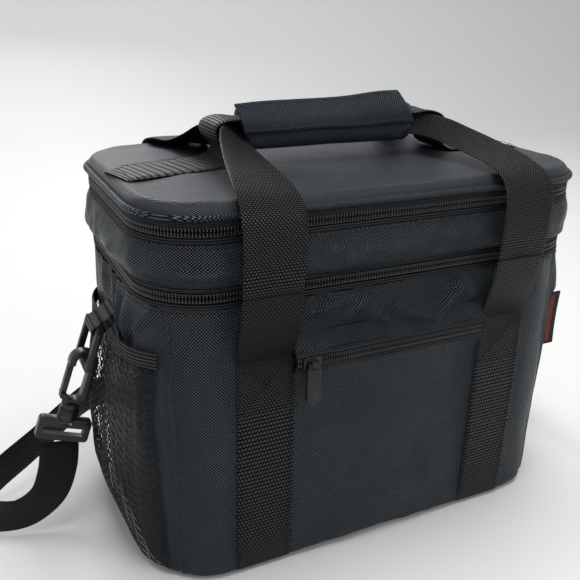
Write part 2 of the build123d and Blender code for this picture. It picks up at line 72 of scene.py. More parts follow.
LID_ZIP_Z = 233.0
LEG_X = 87.2
CLOTH = 0.8
TOOTH = 2.5
RIM_DROP = 4.36
log = logging.getLogger("carrier")
Place = Callable[[float, float], Vector]


# ------------------------------------------------------------------ mesh helpers
def deselect() -> None:
    """Clear the selection, in object mode."""
    if bpy.context.object and bpy.context.object.mode != "OBJECT":
        bpy.ops.object.mode_set(mode="OBJECT")
    bpy.ops.object.select_all(action="DESELECT")


def pick(*objects: bpy.types.Object) -> bpy.types.Object:
    """Select these objects only and make the first one active.

    Args:
        objects: what to select.

    Returns:
        The first object.
    """
    deselect()
    for item in objects:
        item.select_set(True)
    bpy.context.view_layer.objects.active = objects[0]
    return objects[0]


def added(name: str) -> bpy.types.Object:
    """Name the primitive that was just added and its mesh.

    Args:
        name: the piece's name.

    Returns:
        The new object.
    """
    obj = bpy.context.object
    obj.name = name
    obj.data.name = name
    return obj


def applied(obj: bpy.types.Object, kind: str, **values: object) -> bpy.types.Object:
    """Add a modifier, set its values and apply it.

    Args:
        obj: the mesh object.
        kind: the modifier's type.
        values: its settings by name.

    Returns:
        The same object.
    """
    pick(obj)
    modifier = obj.modifiers.new(kind.lower(), kind)
    for key, value in values.items():
        setattr(modifier, key, value)
    bpy.ops.object.modifier_apply(modifier=modifier.name)
    return obj


def edit(obj: bpy.types.Object, *steps: Callable[[], object]) -> bpy.types.Object:
    """Run edit-mode operators on the whole mesh.

    Args:
        obj: the mesh object.
        steps: calls without arguments.

    Returns:
        The same object.
    """
    pick(obj)
    bpy.ops.object.mode_set(mode="EDIT")
    bpy.ops.mesh.select_all(action="SELECT")
    for step in steps:
        step()
    bpy.ops.object.mode_set(mode="OBJECT")
    return obj


def outward(obj: bpy.types.Object) -> bpy.types.Object:
    """Merge doubled points and point all faces of a closed mesh outwards.

    Args:
        obj: the mesh object.

    Returns:
        The same object.
    """
    return edit(
        obj,
        lambda: bpy.ops.mesh.remove_doubles(threshold=MERGE * MM),
        lambda: bpy.ops.mesh.normals_make_consistent(inside=False),
    )


def laid_grid(name: str, columns: int, rows: int, place: Place,
              size: tuple[float, float]) -> bpy.types.Object:
    """Lay a grid of cloth: every point goes where place(u, v) puts it.

    Args:
        name: the piece's name.
        columns: faces along u.
        rows: faces along v.
        place: position in millimetres for u and v from 0 to 1.
        size: the cloth's flat size along u and v, in millimetres, for its weave.

    Returns:
        The new mesh object, one layer thick.
    """
    deselect()
    bpy.ops.mesh.primitive_grid_add(x_subdivisions=columns, y_subdivisions=rows, size=2)
    obj = added(name)
    mesh = obj.data
    spots = [((v.co.x + 1) / 2, (v.co.y + 1) / 2) for v in mesh.vertices]
    layer = mesh.uv_layers[0]
    layer.name = "cloth"
    for loop in mesh.loops:
        u, v = spots[loop.vertex_index]
        layer.data[loop.index].uv = (u * size[0] * MM, v * size[1] * MM)
    for vertex, (u, v) in zip(mesh.vertices, spots):
        vertex.co = place(u, v) * MM
    return obj


def weave_from_above(obj: bpy.types.Object) -> bpy.types.Object:
    """Lay the weave of all faces that look up or down straight from above.

    Args:
        obj: a mesh made by laid_grid.

    Returns:
        The same object.
    """
    layer = obj.data.uv_layers["cloth"]
    for face in obj.data.polygons:
        if abs(face.normal.z) > 0.8:
            for index in face.loop_indices:
                co = obj.data.vertices[obj.data.loops[index].vertex_index].co
                layer.data[index].uv = (co.x, co.y)
    return obj


def thick(obj: bpy.types.Object, thickness: float, offset: float = -1.0,
          level: int = 0) -> bpy.types.Object:
    """Give a laid cloth its thickness and close it.

    Args:
        obj: a mesh one layer thick.
        thickness: in millimetres.
        offset: where the wall lies, from -1 (behind the faces) to 1.
        level: subdivision level after that.

    Returns:
        The same object.
    """
    edit(obj, lambda: bpy.ops.mesh.remove_doubles(threshold=MERGE * MM))
    applied(obj, "SOLIDIFY", thickness=thickness * MM, offset=offset, use_even_offset=False)
    if level:
        applied(obj, "SUBSURF", levels=level, render_levels=level)
    return outward(obj)


def smooth(obj: bpy.types.Object, angle: float = 40.0) -> bpy.types.Object:
    """Shade a piece smooth.

    Args:
        obj: the mesh object.
        angle: edges sharper than this many degrees stay sharp.

    Returns:
        The same object.
    """
    pick(obj)
    bpy.ops.object.shade_smooth_by_angle(angle=math.radians(angle))
    return obj


def joined(name: str, objects: Sequence[bpy.types.Object]) -> bpy.types.Object:
    """Join several meshes into one piece.

    Args:
        name: the piece's name.
        objects: the meshes, of which the first takes in the others.

    Returns:
        The joined object.
    """
    pick(*objects)
    bpy.ops.object.join()
    return added(name)


def run_along(name: str, unit: bpy.types.Object, points: Sequence[Vector], pitch: float,
              cyclic: bool = False) -> bpy.types.Object:
    """Repeat a small unit along a line of points.

    Args:
        name: the piece's name.
        unit: a small mesh at the origin, running along +X, with +Z up.
        points: the line, in millimetres.
        pitch: distance between units, in millimetres.
        cyclic: whether the line closes on itself.

    Returns:
        The unit object, now holding the whole run.
    """
    curve = bpy.data.curves.new(f"{name}_line", "CURVE")
    curve.dimensions = "3D"
    curve.twist_mode = "Z_UP"
    spline = curve.splines.new("POLY")
    spline.points.add(len(points) - 1)
    for spot, point in zip(spline.points, points):
        spot.co = (*(point * MM), 1.0)
    spline.use_cyclic_u = cyclic
    line = bpy.data.objects.new(f"{name}_line", curve)
    bpy.context.collection.objects.link(line)
    length = sum((b - a).length for a, b in zip(points, points[1:]))
    count = max(2, int(length / pitch))
    applied(unit, "ARRAY", count=count, use_relative_offset=False, use_constant_offset=True,
            constant_offset_displace=(pitch * MM, 0, 0))
    applied(unit, "CURVE", object=line, deform_axis="POS_X")
    bpy.data.objects.remove(line)
    unit.name = name
    unit.data.name = name
    return unit


def eased(stations: Sequence[Vector], t: float) -> Vector:
    """A smooth line through points.

    Args:
        stations: the points.
        t: how far along, from 0 to 1.

    Returns:
        The place on the line.
    """
    last = len(stations) - 1
    at = min(t * last, last - 1e-9)
    i = int(at)
    f = at - i
    p0, p1 = stations[max(i - 1, 0)], stations[i]
    p2, p3 = stations[i + 1], stations[min(i + 2, last)]
    return 0.5 * ((2 * p1) + (p2 - p0) * f + (2 * p0 - 5 * p1 + 4 * p2 - p3) * f ** 2
                  + (3 * p1 - p0 - 3 * p2 + p3) * f ** 3)


def folds(a: float, b: float, seed: float = 0.0) -> float:
    """A soft, repeatable wrinkle value.

    Args:
        a: the first coordinate, in wrinkle widths.
        b: the second coordinate.
        seed: shifts the pattern.

    Returns:
        A value between about -1 and 1.
    """
    return noise.noise(Vector((a, b, seed)))


def wall_folds(point: Vector, z: float, across: float, up: float, seed: float) -> float:
    """A wrinkle value on the wall that closes on itself once round the outline.

    Args:
        point: the place on the outline, in millimetres.
        z: the height.
        across: the wrinkles' width along the wall.
        up: their length up the wall.
        seed: shifts the pattern.

    Returns:
        A value between about -1 and 1.
    """
    return noise.noise(Vector((point.x / across + seed, point.y / across - seed, z / up)))


def rise(value: float, start: float, end: float) -> float:
    """A smooth step.

    Args:
        value: where it is asked for.
        start: up to here the step is 0.
        end: from here on it is 1.

    Returns:
        A value from 0 to 1.
    """
    t = min(1.0, max(0.0, (value - start) / (end - start)))
    return t * t * (3 - 2 * t)


# ------------------------------------------------------------------ the carrier's outline
@dataclass(frozen=True)
class Footprint:
    """The rounded rectangle that the carrier's walls follow, in millimetres."""

    width: float = 306.0
    depth: float = 180.0
    radius: float = 42.0

    @property
    def length(self) -> float:
        """Once round the outline."""
        straight = 2 * (self.width + self.depth - 4 * self.radius)
        return straight + 2 * math.pi * self.radius

    @property
    def zip_start(self) -> float:
        """How far from the middle of the back the zip begins, on the left side."""
        return self.width / 2 - self.radius + math.pi * self.radius / 2

    @property
    def side_middle(self) -> float:
        """Distance along the outline from the middle of the back to the middle of the left side."""
        return self.zip_start + self.depth / 2 - self.radius

    def at(self, s: float) -> tuple[Vector, Vector]:
        """The point and outward direction at a distance from the middle of the back.

        Args:
            s: distance along the outline: back, left side, front, right side.

        Returns:
            The point and the outward unit vector, both level.
        """
        half_w = self.width / 2 - self.radius
        half_d = self.depth / 2 - self.radius
        arc = math.pi * self.radius / 2
        runs = [(half_w, Vector((0, half_d, 0)), 90), (2 * half_d, Vector((-half_w, 0, 0)), 180),
                (2 * half_w, Vector((0, -half_d, 0)), 270), (2 * half_d, Vector((half_w, 0, 0)), 0),
                (half_w, Vector((0, half_d, 0)), 90)]
        last = len(runs) - 1
        centres = [(-half_w, half_d), (-half_w, -half_d), (half_w, -half_d), (half_w, half_d)]
        s = s % self.length
        for i, (run, middle, angle) in enumerate(runs):
            heading = math.radians(angle)
            normal = Vector((math.cos(heading), math.sin(heading), 0))
            along = Vector((-normal.y, normal.x, 0))
            if i == last:
                return Vector((half_w, half_d, 0)) + along * s + normal * self.radius, normal
            if s <= run:
                start = 0.0 if i == 0 else -run / 2
                return middle + along * (start + s) + normal * self.radius, normal
            s -= run
            if s <= arc:
                turn = heading + s / self.radius
                normal = Vector((math.cos(turn), math.sin(turn), 0))
                x, y = centres[i]
                return Vector((x, y, 0)) + normal * self.radius, normal
            s -= arc
        raise ValueError("s lies outside the outline")

    def line(self, z: float, out: float, start: float, end: float, step: float) -> list[Vector]:
        """Points along the wall at one height.

        Args:
            z: the height.
            out: distance outside the outline.
            start: first distance along the outline.
            end: last distance along the outline.
            step: spacing of the points.

        Returns:
            The points in order.
        """
        count = max(2, int((end - start) / step))
        found = []
        for i in range(count + 1):
            point, normal = self.at(start + (end - start) * i / count)
            found.append(point + normal * out + Vector((0, 0, z)))
        return found


FOOT = Footprint()


# ------------------------------------------------------------------ materials
class Group:
    """Builds and keeps the shader node groups that several finishes share."""

    _made: dict[str, bpy.types.NodeTree] = {}

    @classmethod
    def start(cls, name: str, inputs: Sequence[tuple[str, str, float]],
              outputs: Sequence[tuple[str, str]]) -> tuple[bpy.types.NodeTree, object, object]:
        """Make an empty group with named sockets.

        Args:
            name: the group's name.
            inputs: (name, socket type, default) of each input.
            outputs: (name, socket type) of each output.

        Returns:
            The tree, its input node and its output node.
        """
        tree = bpy.data.node_groups.new(name, "ShaderNodeTree")
        for label, kind, default in inputs:
            socket = tree.interface.new_socket(label, in_out="INPUT", socket_type=kind)
            if kind == "NodeSocketFloat":
                socket.default_value = default
        for label, kind in outputs:
            tree.interface.new_socket(label, in_out="OUTPUT", socket_type=kind)
        return tree, tree.nodes.new("NodeGroupInput"), tree.nodes.new("NodeGroupOutput")

    @classmethod
    def maths(cls, tree: bpy.types.NodeTree, operation: str, *values: object) -> object:
        """Add a Math node and feed it sockets or numbers.

        Args:
            tree: the node tree.
            operation: the Math node's operation.
            values: up to three sockets or numbers.

        Returns:
            The node's output socket.
        """
        node = tree.nodes.new("ShaderNodeMath")
        node.operation = operation
        for socket, value in zip(node.inputs, values):
            if isinstance(value, (int, float)):
                socket.default_value = value
            else:
                tree.links.new(value, socket)
        return node.outputs[0]

    @classmethod
    def over(cls, tree: bpy.types.NodeTree, come: object, *pitches: str) -> list[object]:
        """Divide the pattern's coordinates by the named pitches.

        Args:
            tree: the node tree.
            come: its input node, with a socket named Vector.
            pitches: names of the pitch sockets for the first and second coordinate.

        Returns:
            The two coordinates, counted in pitches.
        """
        split = tree.nodes.new("ShaderNodeSeparateXYZ")
        tree.links.new(come.outputs["Vector"], split.inputs[0])
        return [cls.maths(tree, "DIVIDE", split.outputs[i], come.outputs[pitch])
                for i, pitch in enumerate(pitches)]

    @classmethod
    def ridge(cls, tree: bpy.types.NodeTree, value: object) -> object:
        """A row of rounded ridges, one for each whole step of the value.

        Args:
            tree: the node tree.
            value: the coordinate's socket.

        Returns:
            The socket of the ridges' height, from 0 to 1.
        """
        wave = cls.maths(tree, "SINE", cls.maths(tree, "MULTIPLY", value, math.pi))
        return cls.maths(tree, "ABSOLUTE", wave)

    @classmethod
    def weave(cls) -> bpy.types.NodeTree:
        """Raised beads in a staggered lattice, for woven cloth and webbing.

        Returns:
            The group's tree.
        """
        if "Bead weave" in cls._made:
            return cls._made["Bead weave"]
        tree, come, go = cls.start(
            "Bead weave",
            [("Vector", "NodeSocketVector", 0), ("Pitch X", "NodeSocketFloat", 0.0012),
             ("Pitch Y", "NodeSocketFloat", 0.0012), ("Unevenness", "NodeSocketFloat", 0.1)],
            [("Height", "NodeSocketFloat"), ("Thread", "NodeSocketFloat")],
        )
        u, v = cls.over(tree, come, "Pitch X", "Pitch Y")
        crossing = [cls.ridge(tree, cls.maths(tree, turn, u, v)) for turn in ("ADD", "SUBTRACT")]
        bead = cls.maths(tree, "MULTIPLY", *crossing)
        bead = cls.maths(tree, "POWER", bead, 0.7)
        grain = tree.nodes.new("ShaderNodeTexNoise")
        grain.inputs["Scale"].default_value = 420.0
        grain.inputs["Detail"].default_value = 2.0
        tree.links.new(come.outputs["Vector"], grain.inputs["Vector"])
        uneven = cls.maths(tree, "MULTIPLY", grain.outputs["Fac"], come.outputs["Unevenness"])
        tree.links.new(cls.maths(tree, "ADD", bead, uneven), go.inputs["Height"])
        tree.links.new(bead, go.inputs["Thread"])
        cls._made["Bead weave"] = tree
        return tree

    @classmethod
    def bricks(cls) -> bpy.types.NodeTree:
        """Rows of raised beads, each row half a bead beside the last, for heavy webbing.

        Returns:
            The group's tree.
        """
        if "Bead rows" in cls._made:
            return cls._made["Bead rows"]
        tree, come, go = cls.start(
            "Bead rows",
            [("Vector", "NodeSocketVector", 0), ("Pitch X", "NodeSocketFloat", 0.0022),
             ("Pitch Y", "NodeSocketFloat", 0.0017)],
            [("Height", "NodeSocketFloat"), ("Thread", "NodeSocketFloat")],
        )
        u, v = cls.over(tree, come, "Pitch X", "Pitch Y")
        parity = cls.maths(tree, "MODULO", cls.maths(tree, "FLOOR", v), 2.0)
        u = cls.maths(tree, "MULTIPLY_ADD", parity, 0.5, u)
        sides = [cls.maths(tree, "POWER", cls.ridge(tree, value), power)
                 for value, power in ((u, 0.6), (v, 0.7))]
        bead = cls.maths(tree, "MULTIPLY", *sides)
        tree.links.new(bead, go.inputs["Height"])
        tree.links.new(bead, go.inputs["Thread"])
        cls._made["Bead rows"] = tree
        return tree

    @classmethod
    def ribs(cls) -> bpy.types.NodeTree:
        """Parallel ribs along one direction with fine threads across them.

        Returns:
            The group's tree.
        """
        if "Ribs" in cls._made:
            return cls._made["Ribs"]
        tree, come, go = cls.start(
            "Ribs",
            [("Vector", "NodeSocketVector", 0), ("Rib pitch", "NodeSocketFloat", 0.0025),
             ("Thread pitch", "NodeSocketFloat", 0.0009)],
            [("Height", "NodeSocketFloat"), ("Thread", "NodeSocketFloat")],
        )
        threads, ribs = (cls.ridge(tree, value)
                         for value in cls.over(tree, come, "Thread pitch", "Rib pitch"))
        fine = cls.maths(tree, "MULTIPLY_ADD", threads, 0.35, 0.65)
        rib = cls.maths(tree, "MULTIPLY", cls.maths(tree, "POWER", ribs, 0.6), fine)
        tree.links.new(rib, go.inputs["Height"])
        tree.links.new(ribs, go.inputs["Thread"])
        cls._made["Ribs"] = tree
        return tree

    @classmethod
    def sheen_and_specks(cls) -> bpy.types.NodeTree:
        """Slow patches and fine specks: the patches are painted sheen in the colour and also vary the
        roughness, and the specks lighten the colour in fine spots.

        Returns:
            The group's tree.
        """
        if "Sheen and specks" in cls._made:
            return cls._made["Sheen and specks"]
        tree, come, go = cls.start(
            "Sheen and specks",
            [("Vector", "NodeSocketVector", 0), ("Patch scale", "NodeSocketFloat", 18.0),
             ("Speck scale", "NodeSocketFloat", 700.0)],
            [("Sheen patches", "NodeSocketFloat"), ("Specks", "NodeSocketFloat")],
        )
        for socket, label, detail in (("Sheen patches", "Patch scale", 4.0), ("Specks", "Speck scale", 1.0)):
            cloud = tree.nodes.new("ShaderNodeTexNoise")
            cloud.inputs["Detail"].default_value = detail
            tree.links.new(come.outputs["Vector"], cloud.inputs["Vector"])
            tree.links.new(come.outputs[label], cloud.inputs["Scale"])
            tree.links.new(cloud.outputs["Fac"], go.inputs[socket])
        cls._made["Sheen and specks"] = tree
        return tree


class Lay(Enum):
    """Where a finish takes its pattern coordinates from."""

    CLOTH = "the piece's own cloth map"
    FLAT = "object coordinates seen from above"
    FRONT = "object coordinates seen from the front"


class Pattern(Enum):
    """The surface pattern of a finish."""

    BEADS = "bead weave"
    BRICKS = "rows of beads"
    RIBS = "ribs"
    PLAIN = "plain moulded"


@dataclass(frozen=True)
class Finish:
    """One surface finish and the numbers that make it."""

    name: str
    slot: str
    # dark and light: for woven and ribbed patterns, the colour of the painted shade in the gaps and of the
    # painted highlight on the raised threads; for plain finishes, the two ends of a random tone.
    dark: tuple[float, float, float]
    light: tuple[float, float, float]
    rough: float
    pattern: Pattern = Pattern.BEADS
    pitch: tuple[float, float] = (1.2, 1.2)
    relief: float = 0.25
    lay: Lay = Lay.CLOTH
    metal: float = 0.0
    specular: float = 0.5
    gloss_thread: float = 0.12
    # How strongly the painted sheen patches vary the painted highlight on the threads.
    sheen_patchiness: float = 0.25
    gap_shine: float = 1.6

    def material(self) -> bpy.types.Material:
        """Build the finish once.

        Returns:
            Its material.
        """
        label = f"look_{self.name}"
        known = bpy.data.materials.get(label)
        if known:
            return known
        made = bpy.data.materials.new(label)
        made.use_nodes = True
        tree = made.node_tree
        shader = tree.nodes["Principled BSDF"]
        shader.inputs["Metallic"].default_value = self.metal
        vector = self._vector(tree)
        height, thread = self._pattern(tree, vector)
        sheen_and_specks = tree.nodes.new("ShaderNodeGroup")
        sheen_and_specks.node_tree = Group.sheen_and_specks()
        coords = tree.nodes.new("ShaderNodeTexCoord")
        tree.links.new(coords.outputs["Object"], sheen_and_specks.inputs["Vector"])
        # Base colour: painted shade in the gaps and a painted highlight on the raised threads, for woven and
        # ribbed patterns; an uneven random tone for plain finishes.
        mix = tree.nodes.new("ShaderNodeMix")
        mix.data_type = "RGBA"
        mix.inputs["A"].default_value = (*self.dark, 1)
        mix.inputs["B"].default_value = (*self.light, 1)
        # Painted sheen: slow patches make the painted highlight stronger or weaker.
        sheen_patch = Group.maths(tree, "MULTIPLY_ADD", sheen_and_specks.outputs["Sheen patches"], 2 * self.sheen_patchiness,
                            1 - self.sheen_patchiness)
        shade = Group.maths(tree, "MULTIPLY", Group.maths(tree, "POWER", thread, 1.5), sheen_patch)
        speck = Group.maths(tree, "MULTIPLY_ADD", sheen_and_specks.outputs["Specks"], 0.3, -0.12)
        shade = Group.maths(tree, "ADD", shade, Group.maths(tree, "MAXIMUM", speck, 0.0))
        tree.links.new(shade, mix.inputs["Factor"])
        tree.links.new(mix.outputs["Result"], shader.inputs["Base Color"])
        shine = Group.maths(tree, "POWER", thread, self.gap_shine)
        shine = Group.maths(tree, "MULTIPLY", shine, self.specular)
        tree.links.new(shine, shader.inputs["Specular IOR Level"])
        rough = Group.maths(tree, "MULTIPLY_ADD", thread, -self.gloss_thread, self.rough)
        rough = Group.maths(tree, "MULTIPLY_ADD", sheen_and_specks.outputs["Sheen patches"], 0.12, rough)
        tree.links.new(rough, shader.inputs["Roughness"])
        bump = tree.nodes.new("ShaderNodeBump")
        bump.inputs["Distance"].default_value = self.relief * MM
        tree.links.new(height, bump.inputs["Height"])
        tree.links.new(bump.outputs["Normal"], shader.inputs["Normal"])
        return made

    def _vector(self, tree: bpy.types.NodeTree) -> object:
        """Lay out the pattern's coordinates.

        Args:
            tree: the material's node tree.

        Returns:
            The coordinates' socket.
        """
        if self.lay is Lay.CLOTH:
            source = tree.nodes.new("ShaderNodeUVMap")
            source.uv_map = "cloth"
            return source.outputs["UV"]
        coords = tree.nodes.new("ShaderNodeTexCoord")
        turn = tree.nodes.new("ShaderNodeMapping")
        turn.inputs["Rotation"].default_value[0] = -math.pi / 2 if self.lay is Lay.FRONT else 0.0
        tree.links.new(coords.outputs["Object"], turn.inputs["Vector"])
        return turn.outputs["Vector"]

    def _pattern(self, tree: bpy.types.NodeTree, vector: object) -> tuple[object, object]:
        """Add the finish's pattern.

        Args:
            tree: the material's node tree.
            vector: the coordinates' socket.

        Returns:
            The sockets of the pattern's height and of its raised threads, which carry the painted highlight
            in the colour.
        """
        if self.pattern is Pattern.PLAIN:
            grain = tree.nodes.new("ShaderNodeTexNoise")
            grain.inputs["Scale"].default_value = 1500.0
            grain.inputs["Detail"].default_value = 3.0
            tree.links.new(vector, grain.inputs["Vector"])
            return grain.outputs["Fac"], grain.outputs["Fac"]
        group = tree.nodes.new("ShaderNodeGroup")
        trees = {Pattern.BEADS: Group.weave, Pattern.BRICKS: Group.bricks, Pattern.RIBS: Group.ribs}
        group.node_tree = trees[self.pattern]()
        ribbed = self.pattern is Pattern.RIBS
        first, second = ("Thread pitch", "Rib pitch") if ribbed else ("Pitch X", "Pitch Y")
        group.inputs[first].default_value = self.pitch[0] * MM
        group.inputs[second].default_value = self.pitch[1] * MM
        tree.links.new(vector, group.inputs["Vector"])
        return group.outputs["Height"], group.outputs["Thread"]


NAVY = Finish("navy_cloth", "navy_polyester", (0.0006, 0.0008, 0.0012), (0.044, 0.060, 0.074), 0.32,
              pitch=(1.9, 1.9), relief=0.65, specular=0.9, gloss_thread=0.14, gap_shine=2.4, sheen_patchiness=0.45)
NAVY_TOP = Finish("navy_cloth_lid", "navy_polyester", (0.001, 0.0015, 0.002), (0.036, 0.045, 0.056), 0.36,
                  pitch=(1.9, 1.9), relief=0.35, lay=Lay.FLAT, specular=0.75, gap_shine=1.2)
NAVY_LID = replace(NAVY_TOP, name="navy_cloth_pad", lay=Lay.CLOTH)
# A lighter copy of the navy cloth for the grip: its lighter colour is painted light on the grip's top.
NAVY_GRIP_LIT = Finish("navy_cloth_grip_lit", "navy_polyester", (0.001, 0.0015, 0.002), (0.058, 0.074, 0.098), 0.38,
                   pitch=(1.7, 1.7), relief=0.4, lay=Lay.FRONT, specular=0.9, gap_shine=1.2)
WEBBING = Finish("black_webbing", "black_webbing", (0.0005, 0.0005, 0.0005), (0.017, 0.017, 0.018), 0.35,
                 pattern=Pattern.BRICKS, pitch=(2.2, 1.5), relief=0.7, specular=0.6, gap_shine=2.0)
LID_WEBBING = Finish("ribbed_webbing", "black_webbing", (0.002, 0.002, 0.002), (0.024, 0.024, 0.026), 0.5,
                     pattern=Pattern.RIBS, pitch=(1.3, 2.8), relief=0.6, specular=0.36, gap_shine=0.9)
ELASTIC = Finish("ribbed_elastic", "elastic", (0.002, 0.002, 0.002), (0.026, 0.026, 0.027), 0.6,
                 pattern=Pattern.RIBS, pitch=(1.0, 2.2), relief=0.5, specular=0.35)
TAPE = Finish("zip_tape", "zip_tape", (0.002, 0.002, 0.002), (0.022, 0.022, 0.023), 0.62,
              pattern=Pattern.RIBS, pitch=(1.6, 1.5), relief=0.4, specular=0.3)
NYLON = Finish("zip_nylon", "zip_nylon", (0.020, 0.020, 0.021), (0.070, 0.070, 0.072), 0.30,
               pattern=Pattern.PLAIN, relief=0.02, lay=Lay.FLAT, specular=0.7, gap_shine=0.4)
PLASTIC = Finish("black_plastic", "black_plastic", (0.006, 0.006, 0.006), (0.020, 0.020, 0.021), 0.36,
                 pattern=Pattern.PLAIN, relief=0.03, lay=Lay.FLAT, gap_shine=0.3)
PAINTED = Finish("painted_slider", "slider_metal", (0.005, 0.005, 0.005), (0.018, 0.018, 0.019), 0.34,
                 pattern=Pattern.PLAIN, relief=0.015, lay=Lay.FLAT, metal=0.2, gap_shine=0.3)
NET = Finish("black_net", "black_mesh", (0.008, 0.008, 0.008), (0.060, 0.060, 0.063), 0.42,
             pattern=Pattern.PLAIN, relief=0.05, lay=Lay.FLAT, gap_shine=0.3, specular=0.4)
THREAD = Finish("sewing_thread", "navy_polyester", (0.010, 0.012, 0.015), (0.060, 0.068, 0.080), 0.5,
                pattern=Pattern.PLAIN, relief=0.02, lay=Lay.FLAT, gap_shine=0.3)
LINING = Finish("silver_lining", "silver_lining", (0.42, 0.43, 0.44), (0.62, 0.63, 0.64), 0.34,
                pattern=Pattern.PLAIN, relief=0.08, lay=Lay.FLAT, metal=0.25, gap_shine=0.3)
FOAM = Finish("closed_foam", "foam", (0.62, 0.62, 0.60), (0.78, 0.78, 0.76), 0.8,
              pattern=Pattern.PLAIN, relief=0.15, lay=Lay.FLAT, gap_shine=0.3)
BOARD = Finish("stiffener_board", "board", (0.16, 0.16, 0.16), (0.24, 0.24, 0.24), 0.6,
               pattern=Pattern.PLAIN, relief=0.03, lay=Lay.FLAT, gap_shine=0.3)
TAG = Finish("woven_tag", "tag", (0.003, 0.003, 0.003), (0.024, 0.024, 0.026), 0.6,
             pitch=(0.9, 0.9), relief=0.12, sheen_patchiness=0.1)
TAG_EDGE = Finish("tag_stripe", "tag", (0.06, 0.006, 0.005), (0.30, 0.035, 0.025), 0.6,
                  pitch=(0.9, 0.9), relief=0.12, sheen_patchiness=0.1)
WEB_THREAD = Finish("webbing_thread", "black_webbing", (0.003, 0.003, 0.003), (0.024, 0.024, 0.025), 0.5,
                    pattern=Pattern.PLAIN, relief=0.02, lay=Lay.FLAT, gap_shine=0.3)


def dressed(obj: bpy.types.Object, finish: Finish, body: Optional[str] = None,
            nodes: Sequence[str] = ()) -> bpy.types.Object:
    """Give a piece its finish, body and the CAD nodes that it stands for.

    Args:
        obj: the finished mesh.
        finish: its surface finish.
        body: the body that it rides on, unless it is blended.
        nodes: names of the replaced nodes.

    Returns:
        The same object.
    """
    obj.data.materials.clear()
    obj.data.materials.append(finish.material())
    if body:
        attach(obj, body)
    if nodes:
        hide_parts(*nodes)
    obj.data.calc_loop_triangles()
    log.info("%s: %d triangles", obj.name, len(obj.data.loop_triangles))
    return obj


# ------------------------------------------------------------------ shared small pieces
def stitch_unit() -> bpy.types.Object:
    """One sewn stitch, lying along +X.

    Returns:
        The stitch, at the origin.
    """
    deselect()
    bpy.ops.mesh.primitive_uv_sphere_add(segments=6, ring_count=4, radius=0.5 * MM)
    unit = added("stitch")
    return edit(unit, lambda: bpy.ops.transform.resize(value=(2.3, 0.55, 0.55)))


def stitches(name: str, points: Sequence[Vector], pitch: float = 3.2) -> bpy.types.Object:
    """A row of stitches along a line of points."""
    return smooth(run_along(name, stitch_unit(), points, pitch))


def tooth_unit(height: float) -> bpy.types.Object:
    """One loop of a zip coil: a slanted, rounded bar.

    Args:
        height: the bar's length in millimetres.

    Returns:
        The loop, at the origin.
    """
    deselect()
    bpy.ops.mesh.primitive_cylinder_add(vertices=8, radius=0.62 * MM, depth=height * MM)
    unit = added("tooth")
    edit(
        unit,
        lambda: bpy.ops.transform.resize(value=(0.85, 1.3, 1.0)),
        lambda: bpy.ops.transform.rotate(value=math.radians(10), orient_axis="Y",
                                         center_override=(0, 0, 0)),
    )
    return applied(unit, "BEVEL", width=0.3 * MM, segments=1, limit_method="ANGLE")


def coil(name: str, lines: Sequence[Sequence[Vector]], pitch: float = 1.9) -> bpy.types.Object:
    """Rows of zip teeth, one row along each line."""
    rows = [run_along(f"{name}_{i}", tooth_unit(TOOTH), line, pitch) for i, line in enumerate(lines)]
    return smooth(joined(name, rows))


def band_round(name: str, low: float, high: float, profile: Callable[[float, float], float],
               start: float, end: float, columns: int, rows: int,
               thickness: float = CLOTH) -> bpy.types.Object:
    """A band of cloth that follows the outline between two heights.

    Args:
        name: the piece's name.
        low: lower edge.
        high: upper edge.
        profile: how far out it stands at (s, v), v from 0 to 1 upwards.
        start: first distance along the outline.
        end: last distance along the outline.
        columns: faces along it.
        rows: faces up it.
        thickness: the cloth's thickness.

    Returns:
        The closed band.
    """
    def place(u: float, v: float) -> Vector:
        """Along the outline with u and up the band with v.

        Args:
            u: how far along the outline, from 0 to 1.
            v: how far up the band, from 0 to 1.

        Returns:
            The place on the band.
        """
        s = start + (end - start) * u
        point, normal = FOOT.at(s)
        return point + normal * profile(s, v) + Vector((0, 0, low + (high - low) * v))

    obj = laid_grid(name, columns, rows, place, (end - start, high - low))
    return thick(obj, thickness)


@dataclass
class Webbing:
    """A length of flat webbing through stations of centre, width direction and width share."""

    name: str
    stations: Sequence[tuple[Vector, Vector, float]]
    width: float = 38.0
    thickness: float = 1.5
    columns: int = 8
    rows: int = 80
    cup: float = 0.0

    def build(self) -> bpy.types.Object:
        """Lay the webbing and close it.

        Returns:
            The finished length.
        """
        centres = [s[0] for s in self.stations]
        across = [s[1] for s in self.stations]
        shares = [Vector((s[2], 0, 0)) for s in self.stations]
        length = sum((b - a).length for a, b in zip(centres, centres[1:]))
        step = 0.004

        def place(u: float, v: float) -> Vector:
            """Across the width with u and along the stations with v.

            Args:
                u: how far across the webbing, from 0 to 1.
                v: how far along it, from 0 to 1.

            Returns:
                The place on the webbing.
            """
            here = eased(centres, v)
            along = (eased(centres, min(v + step, 1)) - eased(centres, max(v - step, 0))).normalized()
            side = eased(across, v)
            side = (side - along * side.dot(along)).normalized()
            face = along.cross(side)
            share = eased(shares, v).x
            arch = self.cup * (1 - share * 0.8) * (1 - (2 * u - 1) ** 2)
            return here + side * (u - 0.5) * self.width * share + face * arch

        obj = laid_grid(self.name, self.columns, self.rows, place, (self.width, length))
        return smooth(thick(obj, self.thickness, offset=0, level=1), 60)


